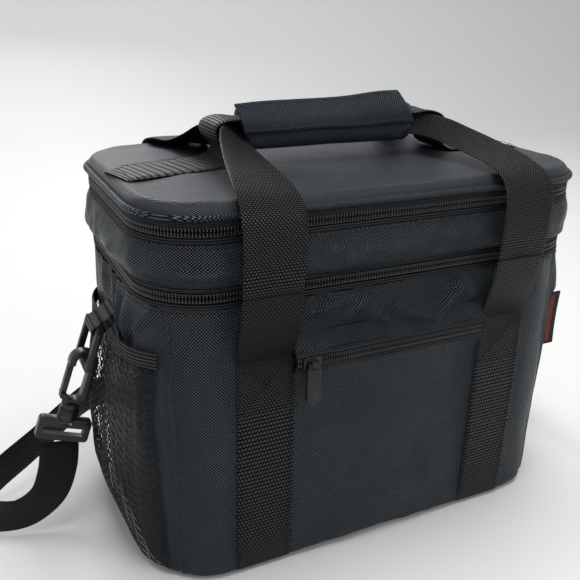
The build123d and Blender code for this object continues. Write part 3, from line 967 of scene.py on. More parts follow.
def rounded_copy(node: str, body: str, finish: Finish, bevel: float) -> bpy.types.Object:
    """A copy of a CAD piece with softened edges, which stands for it.

    Args:
        node: the CAD node.
        body: the body that it rides on.
        finish: its finish.
        bevel: the edge's softening in millimetres.

    Returns:
        The new piece.
    """
    source = bpy.data.objects[node]
    mesh = source.data.copy()
    obj = bpy.data.objects.new(f"{node}_moulded", mesh)
    bpy.context.collection.objects.link(obj)
    edit(outward(obj), lambda: bpy.ops.mesh.dissolve_limited(angle_limit=math.radians(1.0)))
    applied(obj, "BEVEL", width=bevel * MM, segments=2, limit_method="ANGLE",
            angle_limit=math.radians(35), use_clamp_overlap=True)
    return dressed(smooth(obj, 35), finish, body, [node])


@dataclass
class Puff:
    """Swells a closed pad with air pressure, as filled cloth does, then fixes its shape."""

    voxel: float = 4.0
    pressure: float = 4.0
    cap: float = 6.0
    frames: int = 20
    smoothing: int = 4

    def run(self, obj: bpy.types.Object, pinned: Callable[[Vector], bool]) -> bpy.types.Object:
        """Remesh, simulate, cap the movement and subdivide.

        Args:
            obj: a closed mesh.
            pinned: tells whether a point, in millimetres, is held by a seam.

        Returns:
            The same object, finished.
        """
        applied(obj, "REMESH", mode="VOXEL", voxel_size=self.voxel * MM)
        rest = [v.co.copy() for v in obj.data.vertices]
        held = obj.vertex_groups.new(name="seam")
        held.add([i for i, co in enumerate(rest) if pinned(co / MM)], 1.0, "REPLACE")
        cloth = obj.modifiers.new("air", "CLOTH")
        cloth.settings.use_pressure = True
        cloth.settings.uniform_pressure_force = self.pressure
        cloth.settings.vertex_group_mass = held.name
        cloth.settings.effector_weights.gravity = 0.0
        cloth.settings.quality = 6
        scene = bpy.context.scene
        for frame in range(1, self.frames + 1):
            scene.frame_set(frame)
        shape = obj.evaluated_get(bpy.context.evaluated_depsgraph_get()).data
        moved = [v.co.copy() for v in shape.vertices]
        obj.modifiers.remove(cloth)
        for vertex, start, end in zip(obj.data.vertices, rest, moved):
            step = end - start
            limit = self.cap * MM
            vertex.co = start + step * min(1.0, limit / max(step.length, 1e-9))
        scene.frame_set(1)
        obj.vertex_groups.clear()
        applied(obj, "SMOOTH", factor=0.5, iterations=self.smoothing)
        return smooth(applied(obj, "SUBSURF", levels=1, render_levels=1), 60)


# ------------------------------------------------------------------ lower body
@dataclass(frozen=True)
class Crease:
    """A fold in a wall: where it is, how it lies and how deep it is."""

    s: float
    z: float
    angle: float
    length: float
    width: float
    depth: float

    def at(self, s: float, z: float) -> float:
        """The crease's share of the wall's shape.

        Args:
            s: distance along the outline.
            z: the height.

        Returns:
            How far it moves the cloth outwards.
        """
        turn = math.radians(self.angle)
        ds, dz = s - self.s, z - self.z
        along = ds * math.cos(turn) + dz * math.sin(turn)
        cross = -ds * math.sin(turn) + dz * math.cos(turn)
        return 1.5 * self.depth * math.exp(-(along / self.length) ** 2 - (cross / self.width) ** 2)


@dataclass
class LowerBody:
    """The deep lower compartment's outer cloth, seams and base."""

    top: float = 188.0
    seam_offset: float = 36.0
    base_round: float = 7.0
    foot: float = 0.3
    creases: Sequence[Crease] = field(default_factory=lambda: [
        Crease(240, 158, 80, 30, 3.4, 3.2), Crease(248, 150, 74, 30, 3.6, -3.2),
        Crease(232, 168, 88, 22, 3.2, 2.6), Crease(258, 165, 62, 22, 4.2, 3.0),
        Crease(268, 160, 56, 24, 4.0, -2.6), Crease(281, 172, 40, 20, 3.6, 2.6),
        Crease(222, 172, 84, 18, 4, -2.4), Crease(206, 176, 80, 16, 4, 2.4),
        Crease(396, 178, 12, 24, 3.0, 3.0), Crease(408, 168, -18, 26, 3.2, -3.0),
        Crease(424, 178, 30, 18, 3.0, 3.0), Crease(438, 168, -36, 22, 3.2, 3.2),
        Crease(450, 176, 44, 16, 3.0, -3.0), Crease(462, 166, -24, 24, 3.4, 3.2),
        Crease(476, 178, 20, 20, 3.0, -2.8), Crease(490, 168, 52, 18, 3.0, 3.0),
        Crease(504, 176, -20, 20, 3.2, 2.8), Crease(516, 166, 34, 20, 3.2, -2.6),
        Crease(300, 120, 66, 40, 5, 2.0), Crease(314, 60, 78, 50, 6, -2.0),
        Crease(262, 36, 40, 36, 6, 2.4), Crease(274, 22, 34, 34, 5, -2.0),
        Crease(600, 150, 82, 36, 4.5, 2.6), Crease(612, 120, 86, 50, 5, -2.6),
        Crease(626, 70, 84, 46, 6, 2.4), Crease(640, 150, 70, 30, 5, 2.2),
    ])

    @property
    def seams(self) -> list[float]:
        """Where the four upright seams lie.

        Returns:
            Their distances along the outline.
        """
        half_back = FOOT.width / 2 - FOOT.radius
        arc = math.pi * FOOT.radius / 2
        side = FOOT.depth - 2 * FOOT.radius
        left_front = half_back + arc + side + self.seam_offset
        return [half_back + arc - self.seam_offset, left_front,
                FOOT.length - left_front, FOOT.length - half_back - arc + self.seam_offset]

    def lift(self, z: float) -> float:
        """The wall's plain crown and its rounded lower edge.

        Args:
            z: the height.

        Returns:
            How far the unwrinkled cloth stands outside the outline.
        """
        low = max(0.0, self.base_round - z)
        crown = 0.7 + 1.4 * math.sin(math.pi * min(max(z / self.top, 0), 1))
        return crown - self.base_round + math.sqrt(max(self.base_round ** 2 - low ** 2, 0.0))

    def free(self, s: float) -> float:
        """How free the cloth is to wrinkle beside the sewn handle webbing.

        Args:
            s: distance along the outline.

        Returns:
            0 under the webbing, 1 away from it.
        """
        half = FOOT.length / 2
        nearest = min(abs((s - at + half) % FOOT.length - half)
                      for at in (LEG_X, -LEG_X, half - LEG_X, half + LEG_X))
        return rise(nearest, 18, 27)

    def out(self, s: float, z: float) -> float:
        """The wall's whole shape: crown, seams, creases and soft wrinkles.

        Args:
            s: distance along the outline.
            z: the height.

        Returns:
            How far the cloth stands outside the outline.
        """
        point = FOOT.at(s)[0]
        soft = 1.8 * wall_folds(point, z, 48, 64, 3.1) + 0.9 * wall_folds(point, z, 20, 30, 8.4)
        pucker = 2.6 * math.exp(-(self.top - z) / 14) * wall_folds(point, z, 9, 50, 5.5)
        pucker += 1.6 * math.exp(-z / 14) * wall_folds(point, z, 14, 50, 1.7)
        seam = 0.0
        for at in self.seams:
            seam += 1.7 * math.exp(-((s - at) / 1.5) ** 2) - 1.8 * math.exp(-((s - at) / 6) ** 2)
        fold = sum(c.at(s, z) for c in self.creases)
        to_side = min(abs(s - FOOT.side_middle), abs(FOOT.length - s - FOOT.side_middle))
        under_net = (1 - rise(to_side, 74, 82)) * (1 - rise(z, 146, 158))
        value = self.lift(z) + (soft + pucker + seam + fold) * self.free(s) * (1 - 0.8 * under_net)
        return max(value, -self.base_round if z < 8 else 0.1)

    def skin(self, s: float, z: float, extra: float = 0.0) -> Vector:
        """A point on the outer cloth, lifted by extra."""
        point, normal = FOOT.at(s)
        return point + normal * (self.out(s, z) + extra) + Vector((0, 0, z))

    def build(self) -> None:
        """Make the outer cloth, its seam stitching and the base panel."""
        def place(u: float, v: float) -> Vector:
            """Round the wall with u and up it with v, with finer rows near the floor."""
            return self.skin(u * FOOT.length, self.foot + (self.top - self.foot) * v ** 1.12)

        shell = laid_grid("body_cloth", 420, 84, place, (FOOT.length, self.top))
        dressed(smooth(thick(shell, CLOTH), 60), NAVY, "lower_body", ["lower_shell"])
        beside = 3.0
        rows = []
        for i, s in enumerate(self.seams):
            points = [self.skin(s - beside, z, 0.15) for z in range(6, 186, 3)]
            rows.append(stitches(f"seam_stitch_{i}", points))
        top = [self.skin(s, self.top - beside, 0.2) for s in
               range(int(FOOT.zip_start), int(FOOT.length - FOOT.zip_start), 2)]
        rows.append(stitches("top_edge_stitch", top))
        dressed(joined("body_stitching", rows), THREAD, "lower_body")
        self.base()

    def base(self) -> None:
        """The flat base panel with its turned edge."""
        def place(u: float, v: float) -> Vector:
            """Round the panel with u and from its middle to its edge with v.

            Args:
                u: how far round, from 0 to 1.
                v: how far out from the middle, from 0 to 1.

            Returns:
                The place on the panel.
            """
            point, normal = FOOT.at(u * FOOT.length)
            edge = point - normal * (self.base_round - 1.0)
            return Vector((edge.x * v, edge.y * v, 0.6 + 0.6 * (1 - v)))

        panel = laid_grid("base_cloth", 160, 12, place, (FOOT.length, 90))
        dressed(smooth(thick(panel, CLOTH, offset=0.0)), NAVY_TOP, "lower_body", ["base_panel"])


def rim_binding(name: str, z: float, body: str) -> None:
    """A thin cloth strip over the cut edge of a compartment's foam.

    Args:
        name: the piece's name.
        z: the height of its middle.
        body: the body that it rides on.
    """
    inner, width = -8.7, 7.9

    def place(u: float, v: float) -> Vector:
        """Round the rim with u and across the strip with v."""
        point, normal = FOOT.at(u * FOOT.length)
        return point + normal * (inner + width * v) + Vector((0, 0, z))

    strip = laid_grid(name, 240, 3, place, (FOOT.length, 8))
    dressed(smooth(thick(strip, 0.2, offset=0)), TAPE, body)


# ------------------------------------------------------------------ upper compartment and zips
@dataclass
class ZipChain:
    """One zip: two cloth tapes and two rows of teeth round three sides."""

    name: str
    z: float
    bodies: tuple[str, str]
    tape: tuple[float, float]
    out: float = 0.6

    def profile(self, s: float, v: float) -> float:
        """How far out a tape stands at v across its width, which is the same at every s."""
        return self.out - 0.2 + 1.5 * math.sin(math.pi * v) ** 0.8

    def build(self) -> None:
        """Make both tapes and both rows of teeth."""
        start, end = FOOT.zip_start, FOOT.length - FOOT.zip_start
        for half, body, sign, height in (("lower", self.bodies[0], -1, self.tape[0]),
                                         ("upper", self.bodies[1], 1, self.tape[1])):
            edge = self.z + sign * 2.9
            low, high = sorted((edge, edge + sign * height))
            tape = band_round(f"{self.name}_{half}_cloth_tape", low, high, self.profile, start, end, 240, 6)
            dressed(smooth(tape, 60), TAPE, body, [f"{self.name}_{half}_tape"])
            line = FOOT.line(self.z + sign * 1.5, self.out + 0.2, start, end, 1.5)
            second = FOOT.line(self.z + sign * 2.4, self.out - 0.2, start, end, 1.5)
            row = coil(f"{self.name}_{half}_coil", [line])
            cord = cord_strip(f"{self.name}_{half}_cord", second, 0.9)
            dressed(row, NYLON, body, [f"{self.name}_{half}_teeth"])
            dressed(cord, TAPE, body)


def cord_strip(name: str, points: Sequence[Vector], radius: float, cyclic: bool = False,
               sides: int = 8) -> bpy.types.Object:
    """A thin round cord along a line, as a closed tube.

    Args:
        name: the piece's name.
        points: its middle line in millimetres.
        radius: in millimetres.
        cyclic: whether it closes on itself.
        sides: flat sides of its section.

    Returns:
        The tube.
    """
    step = 3.0
    deselect()
    bpy.ops.mesh.primitive_cylinder_add(vertices=sides, radius=radius * MM, depth=step * MM,
                                        end_fill_type="NOTHING", rotation=(0, math.pi / 2, 0))
    unit = added(name)
    bpy.ops.object.transform_apply(location=True, rotation=True, scale=True)
    edit(unit, lambda: bpy.ops.transform.translate(value=(step / 2 * MM, 0, 0)))
    run = run_along(name, unit, points, step, cyclic)
    edit(run, lambda: bpy.ops.mesh.remove_doubles(threshold=0.15 * MM),
         lambda: bpy.ops.mesh.fill_holes(sides=sides),
         lambda: bpy.ops.mesh.normals_make_consistent(inside=False))
    layer = run.data.uv_layers.new(name="cloth")
    for loop in run.data.loops:
        co = run.data.vertices[loop.vertex_index].co
        layer.data[loop.index].uv = (co.x + co.y, co.z)
    return smooth(run, 60)


def rear_hinge(name: str, low: float, high: float, bow: float) -> None:
    """The cloth behind the carrier that bends where a zip ends.

    Args:
        name: the piece's name.
        low: its lower edge.
        high: its upper edge.
        bow: how far its middle stands out.
    """
    hinge = band_round(name, low, high, lambda s, v: 1.1 + bow * math.sin(math.pi * v),
                       -FOOT.zip_start, FOOT.zip_start, 120, 10)
    dressed(smooth(hinge, 60), NAVY)
    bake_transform(hinge)


@dataclass
class UpperCompartment:
    """The shallow upper compartment's cloth band between the two zips."""

    low: float = 200.0
    high: float = 227.0
    bulge: float = 5.4

    def out(self, s: float, v: float) -> float:
        """The band's overhang: it swells in the middle and folds under at the bottom.

        Args:
            s: distance along the outline.
            v: height in the band, from 0 to 1.

        Returns:
            How far the cloth stands outside the outline.
        """
        swell = self.bulge * math.sin(math.pi * min(1.0, v * 0.86 + 0.14)) ** 0.7
        point = FOOT.at(s)[0]
        corner = 1.0 + 0.5 * wall_folds(point, 0.4, 60, 1, 2.2)
        soft = 2.6 * wall_folds(point, v, 34, 0.7, 6.3) + 1.5 * wall_folds(point, v, 11, 0.45, 9.1)
        dip = -3.4 * math.exp(-((s - 290) / 34) ** 2) * math.exp(-((v - 0.2) / 0.16) ** 2)
        ridge = 2.2 * math.exp(-((s - 326) / 30) ** 2) * math.exp(-((v - 0.45) / 0.14) ** 2)
        under = -2.6 * math.exp(-((v - 0.04) / 0.07) ** 2)
        return 0.8 + swell * corner + soft * math.sin(math.pi * v) + dip + ridge + under

    def build(self) -> None:
        """Make the band, its stitching and the cloth hinge at the rear."""
        def place(u: float, v: float) -> Vector:
            """Round the band with u and up it with v.

            Args:
                u: how far round, from 0 to 1.
                v: how far up, from 0 to 1.

            Returns:
                The place on the band.
            """
            s = u * FOOT.length
            point, normal = FOOT.at(s)
            sag = -1.6 * math.sin(math.pi * v) * (1 + 0.4 * wall_folds(point, 0.3, 45, 1, 4.0))
            height = self.low + (self.high - self.low) * v + sag
            return point + normal * self.out(s, v) + Vector((0, 0, height))

        band = laid_grid("upper_band_cloth", 420, 26, place, (FOOT.length, 34))
        dressed(smooth(thick(band, CLOTH), 60), NAVY, "upper_compartment", ["upper_shell"])
        start, end = FOOT.zip_start, FOOT.length - FOOT.zip_start
        top = FOOT.line(self.high - 1.8, 2.6, start, end, 2.0)
        dressed(stitches("upper_band_stitch", top), THREAD, "upper_compartment")
        rear_hinge("rear_hinge_cloth", 186.0, 203.0, 0.5)


# ------------------------------------------------------------------ lid
def strap_skew(x: float) -> float:
    """How far the lid strap's left end is sewn towards the front, at a distance x."""
    return -12.0 * min(1.0, max(0.0, (-x - 90.0) / 60.0))


@dataclass
class Lid:
    """The padded lid with its piped rim, rear hinge cloth and handle strap."""

    rim: float = 239.2
    top: float = 248.6
    overhang: float = 1.6
    rounding: float = 6.5
    strap_half: float = 19.0

    def build(self) -> None:
        """Make the padded panel, the piping, the rear cloth and the strap."""
        self.panel()
        points = FOOT.line(241.0, 2.3, 0, FOOT.length, 1.5)[:-1]
        pipe = cord_strip("lid_piping_cord", points, 2.1, cyclic=True, sides=12)
        dressed(pipe, NAVY, "lid", ["lid_piping"])
        welt = band_round("lid_welt", 239.2, 240.6, lambda s, v: 2.6 - 0.6 * v, 0, FOOT.length, 300, 2)
        dressed(smooth(welt, 60), TAPE, "lid")
        inner = FOOT.line(244.2, -1.0, 0, FOOT.length, 2.0)
        dressed(stitches("lid_edge_stitch", inner), THREAD, "lid")
        rear_hinge("lid_hinge_cloth", 224.5, 240.0, 0.6)
        self.strap()

    def inside(self, x: float, y: float) -> float:
        """How deep a point lies inside the lid's edge, seen from above.

        Args:
            x: its place along the width.
            y: its place along the depth.

        Returns:
            The distance from the edge, up to the corner radius.
        """
        out_x = max(abs(x) - FOOT.width / 2 + FOOT.radius, 0)
        out_y = max(abs(y) - FOOT.depth / 2 + FOOT.radius, 0)
        return FOOT.radius + self.overhang - math.hypot(out_x, out_y)

    def blank(self, u: float, v: float) -> Vector:
        """The unfilled pad: underside from the middle out, the rounded edge, then the top.

        Args:
            u: once round the pad, from 0 to 1.
            v: from the middle of the underside, over the edge, to the middle of the top.

        Returns:
            The place on the pad.
        """
        under, over, lip = 0.2, 0.45, 1.5
        point, normal = FOOT.at(u * FOOT.length)
        edge = point + normal * self.overhang
        if v < under:
            return Vector((edge.x * v / under, edge.y * v / under, self.rim))
        turn = min(1.0, (v - under) / (over - under)) * math.pi / 2
        inset = normal * self.rounding * (1 - math.cos(turn))
        share = 1.0 - max(0.0, (v - over) / (1 - over))
        place = Vector(((edge.x - inset.x) * share, (edge.y - inset.y) * share, self.rim))
        place.z += lip + (self.top - self.rim - lip) * math.sin(turn)
        return place

    def panel(self) -> None:
        """Swell the lid's padding under its cloth and lay the cloth over it."""
        trial = laid_grid("lid_filling", 160, 60, self.blank, (FOOT.length, 90))
        outward(trial)

        def held(p: Vector) -> bool:
            """Held near the edge and on the underside."""
            return self.inside(p.x, p.y) < 8 or p.z < self.top - 4

        Puff(voxel=3.6, pressure=3.0, cap=2.6).run(trial, held)
        tree = BVHTree.FromPolygons([v.co for v in trial.data.vertices],
                                    [f.vertices for f in trial.data.polygons])
        bpy.data.objects.remove(trial)
        pad = laid_grid("lid_pad", 240, 76, self.blank, (FOOT.length, 90))
        above = 0.4
        for vertex in pad.data.vertices:
            x, y, z = vertex.co / MM
            deep = self.inside(x, y)
            if z < self.rim + 2:
                continue
            hit = tree.ray_cast(Vector((x * MM, y * MM, above)), Vector((0, 0, -1)))[0]
            swell = max(0.0, hit.z / MM - self.top) if hit else 0.0
            calm = min(1.0, max(0.0, (deep - 5) / 18))
            soft = 1.3 * folds(x / 58, y / 30, 7.7) + 0.6 * folds(x / 20, y / 36, 2.9)
            pucker = 0.45 * math.exp(-((deep - 8) / 5) ** 2) * folds(x / 9, y / 9, 5.3)
            z += calm * (0.7 * swell + soft) + pucker
            under_strap = abs(y - strap_skew(x)) < self.strap_half + 2 and abs(x) > 84 and deep > 6
            if under_strap:
                z = min(z, self.top - 0.2)
            vertex.co.z = z * MM
        dressed(weave_from_above(smooth(outward(pad), 60)), NAVY_LID, "lid", ["lid_cover", "lid_foam"])

    def strap(self) -> None:
        """The ribbed strap sewn along the lid, rising into both ends of the grip."""
        flat = self.top + 0.9
        across = Vector((0, 1, 0))

        def route(side: int) -> list[tuple[Vector, Vector, float]]:
            """The stations on one side, -1 for the left and 1 for the right.

            Args:
                side: -1 for the left and 1 for the right.

            Returns:
                Centre, width direction and width share of each.
            """
            spots = [(150.5, flat - 1.6, 0.9), (140, flat, 1.0), (120, flat + 0.3, 1.0),
                     (98, flat + 0.6, 1.0), (87, flat + 1.6, 1.0), (80.5, flat + 6.0, 0.96),
                     (82, flat + 12, 0.9), (87.5, flat + 18, 0.86), (87, flat + 25, 0.8),
                     (79, flat + 28, 0.72), (69, flat + 27, 0.6), (57, flat + 26, 0.5)]
            inward = 0.0 if side < 0 else 12.0
            found = []
            for x, z, w in spots:
                x = side * (x - inward * max(0.0, (z - flat - 12) / 24))
                found.append((Vector((x, strap_skew(x), z)), across, w))
            return found

        for side, label in ((-1, "left"), (1, "right")):
            strap = Webbing(f"lid_strap_{label}", route(side), thickness=1.7, rows=90, cup=2.0).build()
            dressed(strap, LID_WEBBING, "lid", ["lid_handle"])
            skew = strap_skew(side * 145.0)
            seam = 17
            ends = [Vector((side * 145.0, y + skew, flat + 1.0)) for y in range(-seam, seam + 1, 2)]
            edges = [[Vector((side * x, y + strap_skew(side * x), flat + 1.2)) for x in range(100, 146, 3)]
                     for y in (-seam, seam)]
            rows = [stitches("strap_end", ends, 2.6)]
            rows += [stitches(f"strap_edge_{i}", line, 3.0) for i, line in enumerate(edges)]
            dressed(joined(f"lid_strap_{label}_stitching", rows), THREAD, "lid")


# ------------------------------------------------------------------ handles
@dataclass
class Handle:
    """One carrying handle: webbing sewn to the body, free legs and one half of the grip.

    Facing is -1 for the front handle and 1 for the back one.
    """

    side: str
    facing: int
    body: LowerBody
    leg_x: float = LEG_X
    sewn_top: float = 155.0
    middle: float = 196.0
    back_sag: float = 9.0

    def y(self, value: float) -> float:
        """A distance in front of the middle plane, turned to this handle's side."""
        return value * self.facing

    def sewn_y(self, z: float) -> float:
        """How far out the sewn webbing stands at a height."""
        return FOOT.depth / 2 + max(self.body.lift(z) + 0.6, 0.3)

    def leg(self, sign: int) -> None:
        """One leg in two lengths that meet halfway up its free part.

        Args:
            sign: -1 for the left leg, 1 for the right one.
        """
        x = sign * self.leg_x
        label = "left" if sign < 0 else "right"
        wide = Vector((1, 0, 0))
        lower = [(Vector((x, self.y(self.sewn_y(z)), z)), wide, 1.0)
                 for z in (3, 20, 50, 85, 120, 140, 152)]
        bow = [(159, 93.4), (168, 96.5), (180, 99.6), (self.middle, 102.4)]
        lower += [(Vector((x, self.y(d), z)), wide, 1.0) for z, d in bow]
        piece = Webbing(f"{self.side}_webbing_{label}", lower, rows=120).build()
        dressed(piece, WEBBING, nodes=[f"{self.side}_webbing_{label}", f"{self.side}_handle_legs"])
        self.y(0.0916)
        self.y(0.0950)
        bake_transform(piece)
        pull = 1.0 if sign < 0 else 1.9
        upper = [(self.middle, 102.4, 0, 1.0, 0.0), (214, 104.0, 0, 1.0, 0.0), (228, 104.2, 0, 1.0, 0.0),
                 (241, 102.0, 0, 1.0, 0.0), (250.0, 94.0, -0.5, 0.97, 0.0), (256, 78, -1.5, 0.90, 0.1),
                 (260.5, 58, -3.5, 0.80, 0.22), (264.5, 40, -6.0, 0.70, 0.4), (268, 25, -9.0, 0.62, 0.65),
                 (270, 13, -14.0, 0.54, 0.95), (271, 6, -21.0, 0.48, 1.2)]
        sag = 0.0 if self.facing < 0 else self.back_sag
        lowest, reach = 52, 44
        upper = [(z - sag * max(0.0, 1 - abs(d - lowest) / reach), d, shift * pull, share, tilt)
                 for z, d, shift, share, tilt in upper]
        stations = []
        for z, d, shift, share, tilt in upper:
            turned = Vector((sign * math.cos(tilt), self.y(-1) * math.sin(tilt) * 0.6, math.sin(tilt) * 0.8))
            stations.append((Vector((sign * (self.leg_x + shift), self.y(d), z)), turned * sign, share))
        piece = Webbing(f"{self.side}_webbing_{label}_upper", stations, rows=110, cup=3.0).build()
        dressed(piece, WEBBING, nodes=[f"{self.side}_handle_top"])
        self.y(0.104)
        self.y(0.098)
        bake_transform(piece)
        self.sewing(x, label)

    def sewing(self, x: float, label: str) -> None:
        """Edge stitching and the box stitch at the top of the sewn length.

        Args:
            x: the leg's middle.
            label: its side, left or right.
        """
        def line(dx0: float, z0: float, dx1: float, z1: float) -> list[Vector]:
            """A straight line of points on the webbing's face.

            Args:
                dx0: the start, beside the leg's middle.
                z0: its height.
                dx1: the end, beside the leg's middle.
                z1: its height.

            Returns:
                The points in order.
            """
            count = max(2, int(math.hypot(dx1 - dx0, z1 - z0) / 2))
            found = []
            for i in range(count + 1):
                t = i / count
                z = z0 + (z1 - z0) * t
                found.append(Vector((x + dx0 + (dx1 - dx0) * t, self.y(self.sewn_y(z) + 0.95), z)))
            return found

        lines = [line(-16.5, 8, -16.5, 152), line(16.5, 8, 16.5, 152), line(-16.5, 152, 16.5, 152),
                 line(-16.5, 118, 16.5, 118), line(-16.5, 118, 16.5, 152), line(16.5, 118, -16.5, 152)]
        rows = [stitches(f"sewn_{i}", points, 3.0) for i, points in enumerate(lines)]
        dressed(joined(f"{self.side}_webbing_{label}_stitching", rows), WEB_THREAD, "lower_body")

    def grip(self) -> None:
        """The padded half of the grip; the front half carries the overlapping flap."""
        low, high = (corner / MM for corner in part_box(f"{self.side}_grip"))
        middle = (low + high) / 2
        size = high - low
        deselect()
        bpy.ops.mesh.primitive_cube_add(size=MM, location=middle * MM)
        pad = added(f"{self.side}_grip_pad")
        edit(pad, lambda: bpy.ops.transform.resize(value=(size.x - 11, size.y - 2.4, size.z - 5)),
             lambda: bpy.ops.transform.translate(value=(-4.5 * MM, 0, -0.6 * MM)),
             lambda: bpy.ops.mesh.bevel(offset=4.5 * MM, segments=3, affect="EDGES"))
        bpy.ops.object.transform_apply(location=True, rotation=True, scale=True)

        def held(p: Vector) -> bool:
            """Held where the two halves of the grip meet."""
            return self.y(p.y) < 2.0

        Puff(voxel=3.0, pressure=5.0, cap=3.2).run(pad, held)
        dressed(pad, NAVY_GRIP_LIT, f"{self.side}_handle_upper", [f"{self.side}_grip"])

    def build(self) -> None:
        """Make both legs and the grip half."""
        for sign in (-1, 1):
            self.leg(sign)
        self.grip()


@dataclass
class GripFlap:
    """The flat flap of the wrap that overlaps on top of the grip."""

    left: float = -74.0
    right: float = 56.0
    drop: float = 22.0
    thickness: float = 2.0

    def build(self) -> None:
        """Make the flap and its edge stitching."""
        def place(u: float, v: float) -> Vector:
            """Along the grip with u and up the flap with v.

            Args:
                u: how far along the grip, from 0 to 1.
                v: how far up the flap, from 0 to 1.

            Returns:
                The place on the flap.
            """
            x = self.left + (self.right - self.left) * u
            x += -11.0 * v * max(0.0, u - 0.5) * 2 + 4.0 * (1 - v) * max(0.0, 0.12 - u) / 0.12
            lean = [Vector((x, -17.2, 270.0)), Vector((x, -16.2, 277.0)), Vector((x, -13.2, 283.5)),
                    Vector((x, -9.0, 289.5))]
            spot = eased(lean, v)
            wave = 1.2 * folds(u * 3.4, v * 0.8, 4.4)
            return spot + Vector((0, -wave * 0.4, wave + 3.4 * (u - 0.5) * (0.4 + v)))

        flap = laid_grid("grip_flap", 70, 12, place, (self.right - self.left, self.drop))
        flap = smooth(thick(flap, self.thickness, offset=0, level=1), 50)
        dressed(flap, NAVY, "front_handle_upper")

        def edge(v: float) -> list[Vector]:
            """A line along the flap at one height."""
            return [place(u / 60, v) + Vector((0, -1.2, 0.6)) for u in range(2, 59)]

        rows = [stitches("flap_top", edge(0.9), 3.0), stitches("flap_low", edge(0.1), 3.0)]
        dressed(joined("grip_flap_stitching", rows), THREAD, "front_handle_upper")


# ------------------------------------------------------------------ front pocket
@dataclass
class FrontPocket:
    """The flat zipped pocket between the two front legs."""

    half: float = 69.5
    low: float = 5.0
    zip_z: float = 147.7
    front: float = 96.0
    sewn: float = 91.0

    def depth_at(self, x: float, z: float) -> float:
        """The pocket cloth's swell, wrinkles and its run up to the zip.

        Args:
            x: its place along the width.
            z: the height.

        Returns:
            How far in front of the middle plane the cloth stands.
        """
        side = 1 - abs(x / self.half) ** 3
        climb = min(1.0, max(0.0, (z - self.low) / 30)) ** 0.7
        body = self.sewn + 5.6 * max(side, 0.0) * climb
        soft = 1.6 * folds(x / 34, z / 44, 2.4) + 0.9 * folds(x / 14, z / 26, 6.6)
        dip = -1.4 * math.exp(-((z - 96) / 16) ** 2) * math.exp(-((x + 6) / 48) ** 2)
        near_zip = max(0.0, 1 - (self.zip_z - z) / 16)
        waves = (soft + dip) * max(side, 0)
        return (body + waves) * (1 - near_zip) + (self.front + 0.2) * near_zip

    def build(self) -> None:
        """Make the panel, the strip above the zip, the zip and its stitching."""
        top = self.zip_z - 5.2

        def place(u: float, v: float) -> Vector:
            """Across the panel with u and up it with v.

            Args:
                u: how far across, from 0 to 1.
                v: how far up, from 0 to 1.

            Returns:
                The place on the panel.
            """
            x = (u * 2 - 1) * self.half
            z = self.low + (top - self.low) * v
            return Vector((x, -self.depth_at(x, z), z))

        panel = laid_grid("pocket_cloth", 96, 96, place, (2 * self.half, top - self.low))
        dressed(smooth(thick(panel, CLOTH), 60), NAVY, "lower_body", ["pocket_panel"])

        def strip(u: float, v: float) -> Vector:
            """Across the strip above the zip with u and up it with v.

            Args:
                u: how far across, from 0 to 1.
                v: how far up, from 0 to 1.

            Returns:
                The place on the strip.
            """
            x = (u * 2 - 1) * self.half
            wave = 1.1 * folds(x / 17, 0.5, 3.3)
            z = self.zip_z + 4.8 + wave * (1 - v) + v * 12.5
            bend = math.sin(math.pi / 2 * v)
            return Vector((x, -(self.front + 1.9 * (1 - v) ** 2 + 0.4 * wave) * (1 - bend) - 91.2 * bend, z))

        over = laid_grid("pocket_top_cloth", 96, 12, strip, (2 * self.half, 13))
        dressed(smooth(thick(over, 1.0), 60), NAVY, "lower_body", ["pocket_top_strip"])

        def binding(u: float, v: float) -> Vector:
            """Along the strip's lower edge with u and round the binding with v.

            Args:
                u: how far along the edge, from 0 to 1.
                v: how far round the binding, from 0 to 1.

            Returns:
                The place on the binding.
            """
            spot = strip(u, 0.0)
            turn = v * math.pi * 2
            return spot + Vector((0, -0.9 * math.cos(turn), 1.3 * math.sin(turn)))

        bound = laid_grid("pocket_binding", 96, 8, binding, (2 * self.half, 6))
        edit(bound, lambda: bpy.ops.mesh.remove_doubles(threshold=MERGE * MM),
             lambda: bpy.ops.mesh.fill_holes(sides=12))
        dressed(smooth(outward(bound), 60), TAPE, "lower_body")
        self.zip()
        points = [Vector((x, -self.depth_at(x, top - 3.0) - 0.3, top - 3.0)) for x in range(-66, 67, 2)]
        dressed(stitches("pocket_stitch", points), THREAD, "lower_body")

    def zip(self) -> None:
        """The pocket zip's two tapes and its rows of teeth."""
        tapes = []
        for sign in (-1, 1):
            def place(u: float, v: float, sign: int = sign) -> Vector:
                """Along the tape with u and away from the teeth with v."""
                x = (u * 2 - 1) * self.half
                return Vector((x, -(self.front - 0.3 + 0.5 * math.sin(math.pi * v)),
                               self.zip_z + sign * (2.2 + v * 4.6)))
            tape = laid_grid(f"pocket_tape_{sign}", 60, 4, place, (2 * self.half, 4.6))
            tapes.append(thick(tape, 0.6, offset=1.0 if sign < 0 else -1.0))
        dressed(smooth(joined("pocket_zip_cloth_tapes", tapes), 60), TAPE, "lower_body", ["pocket_zip_tapes"])
        lines = [[Vector((x, -self.front - 0.2, self.zip_z + sign * 1.5)) for x in range(-68, 69, 4)]
                 for sign in (-1, 1)]
        dressed(coil("pocket_coil", lines, 1.7), NYLON, "lower_body", ["pocket_zip_teeth"])


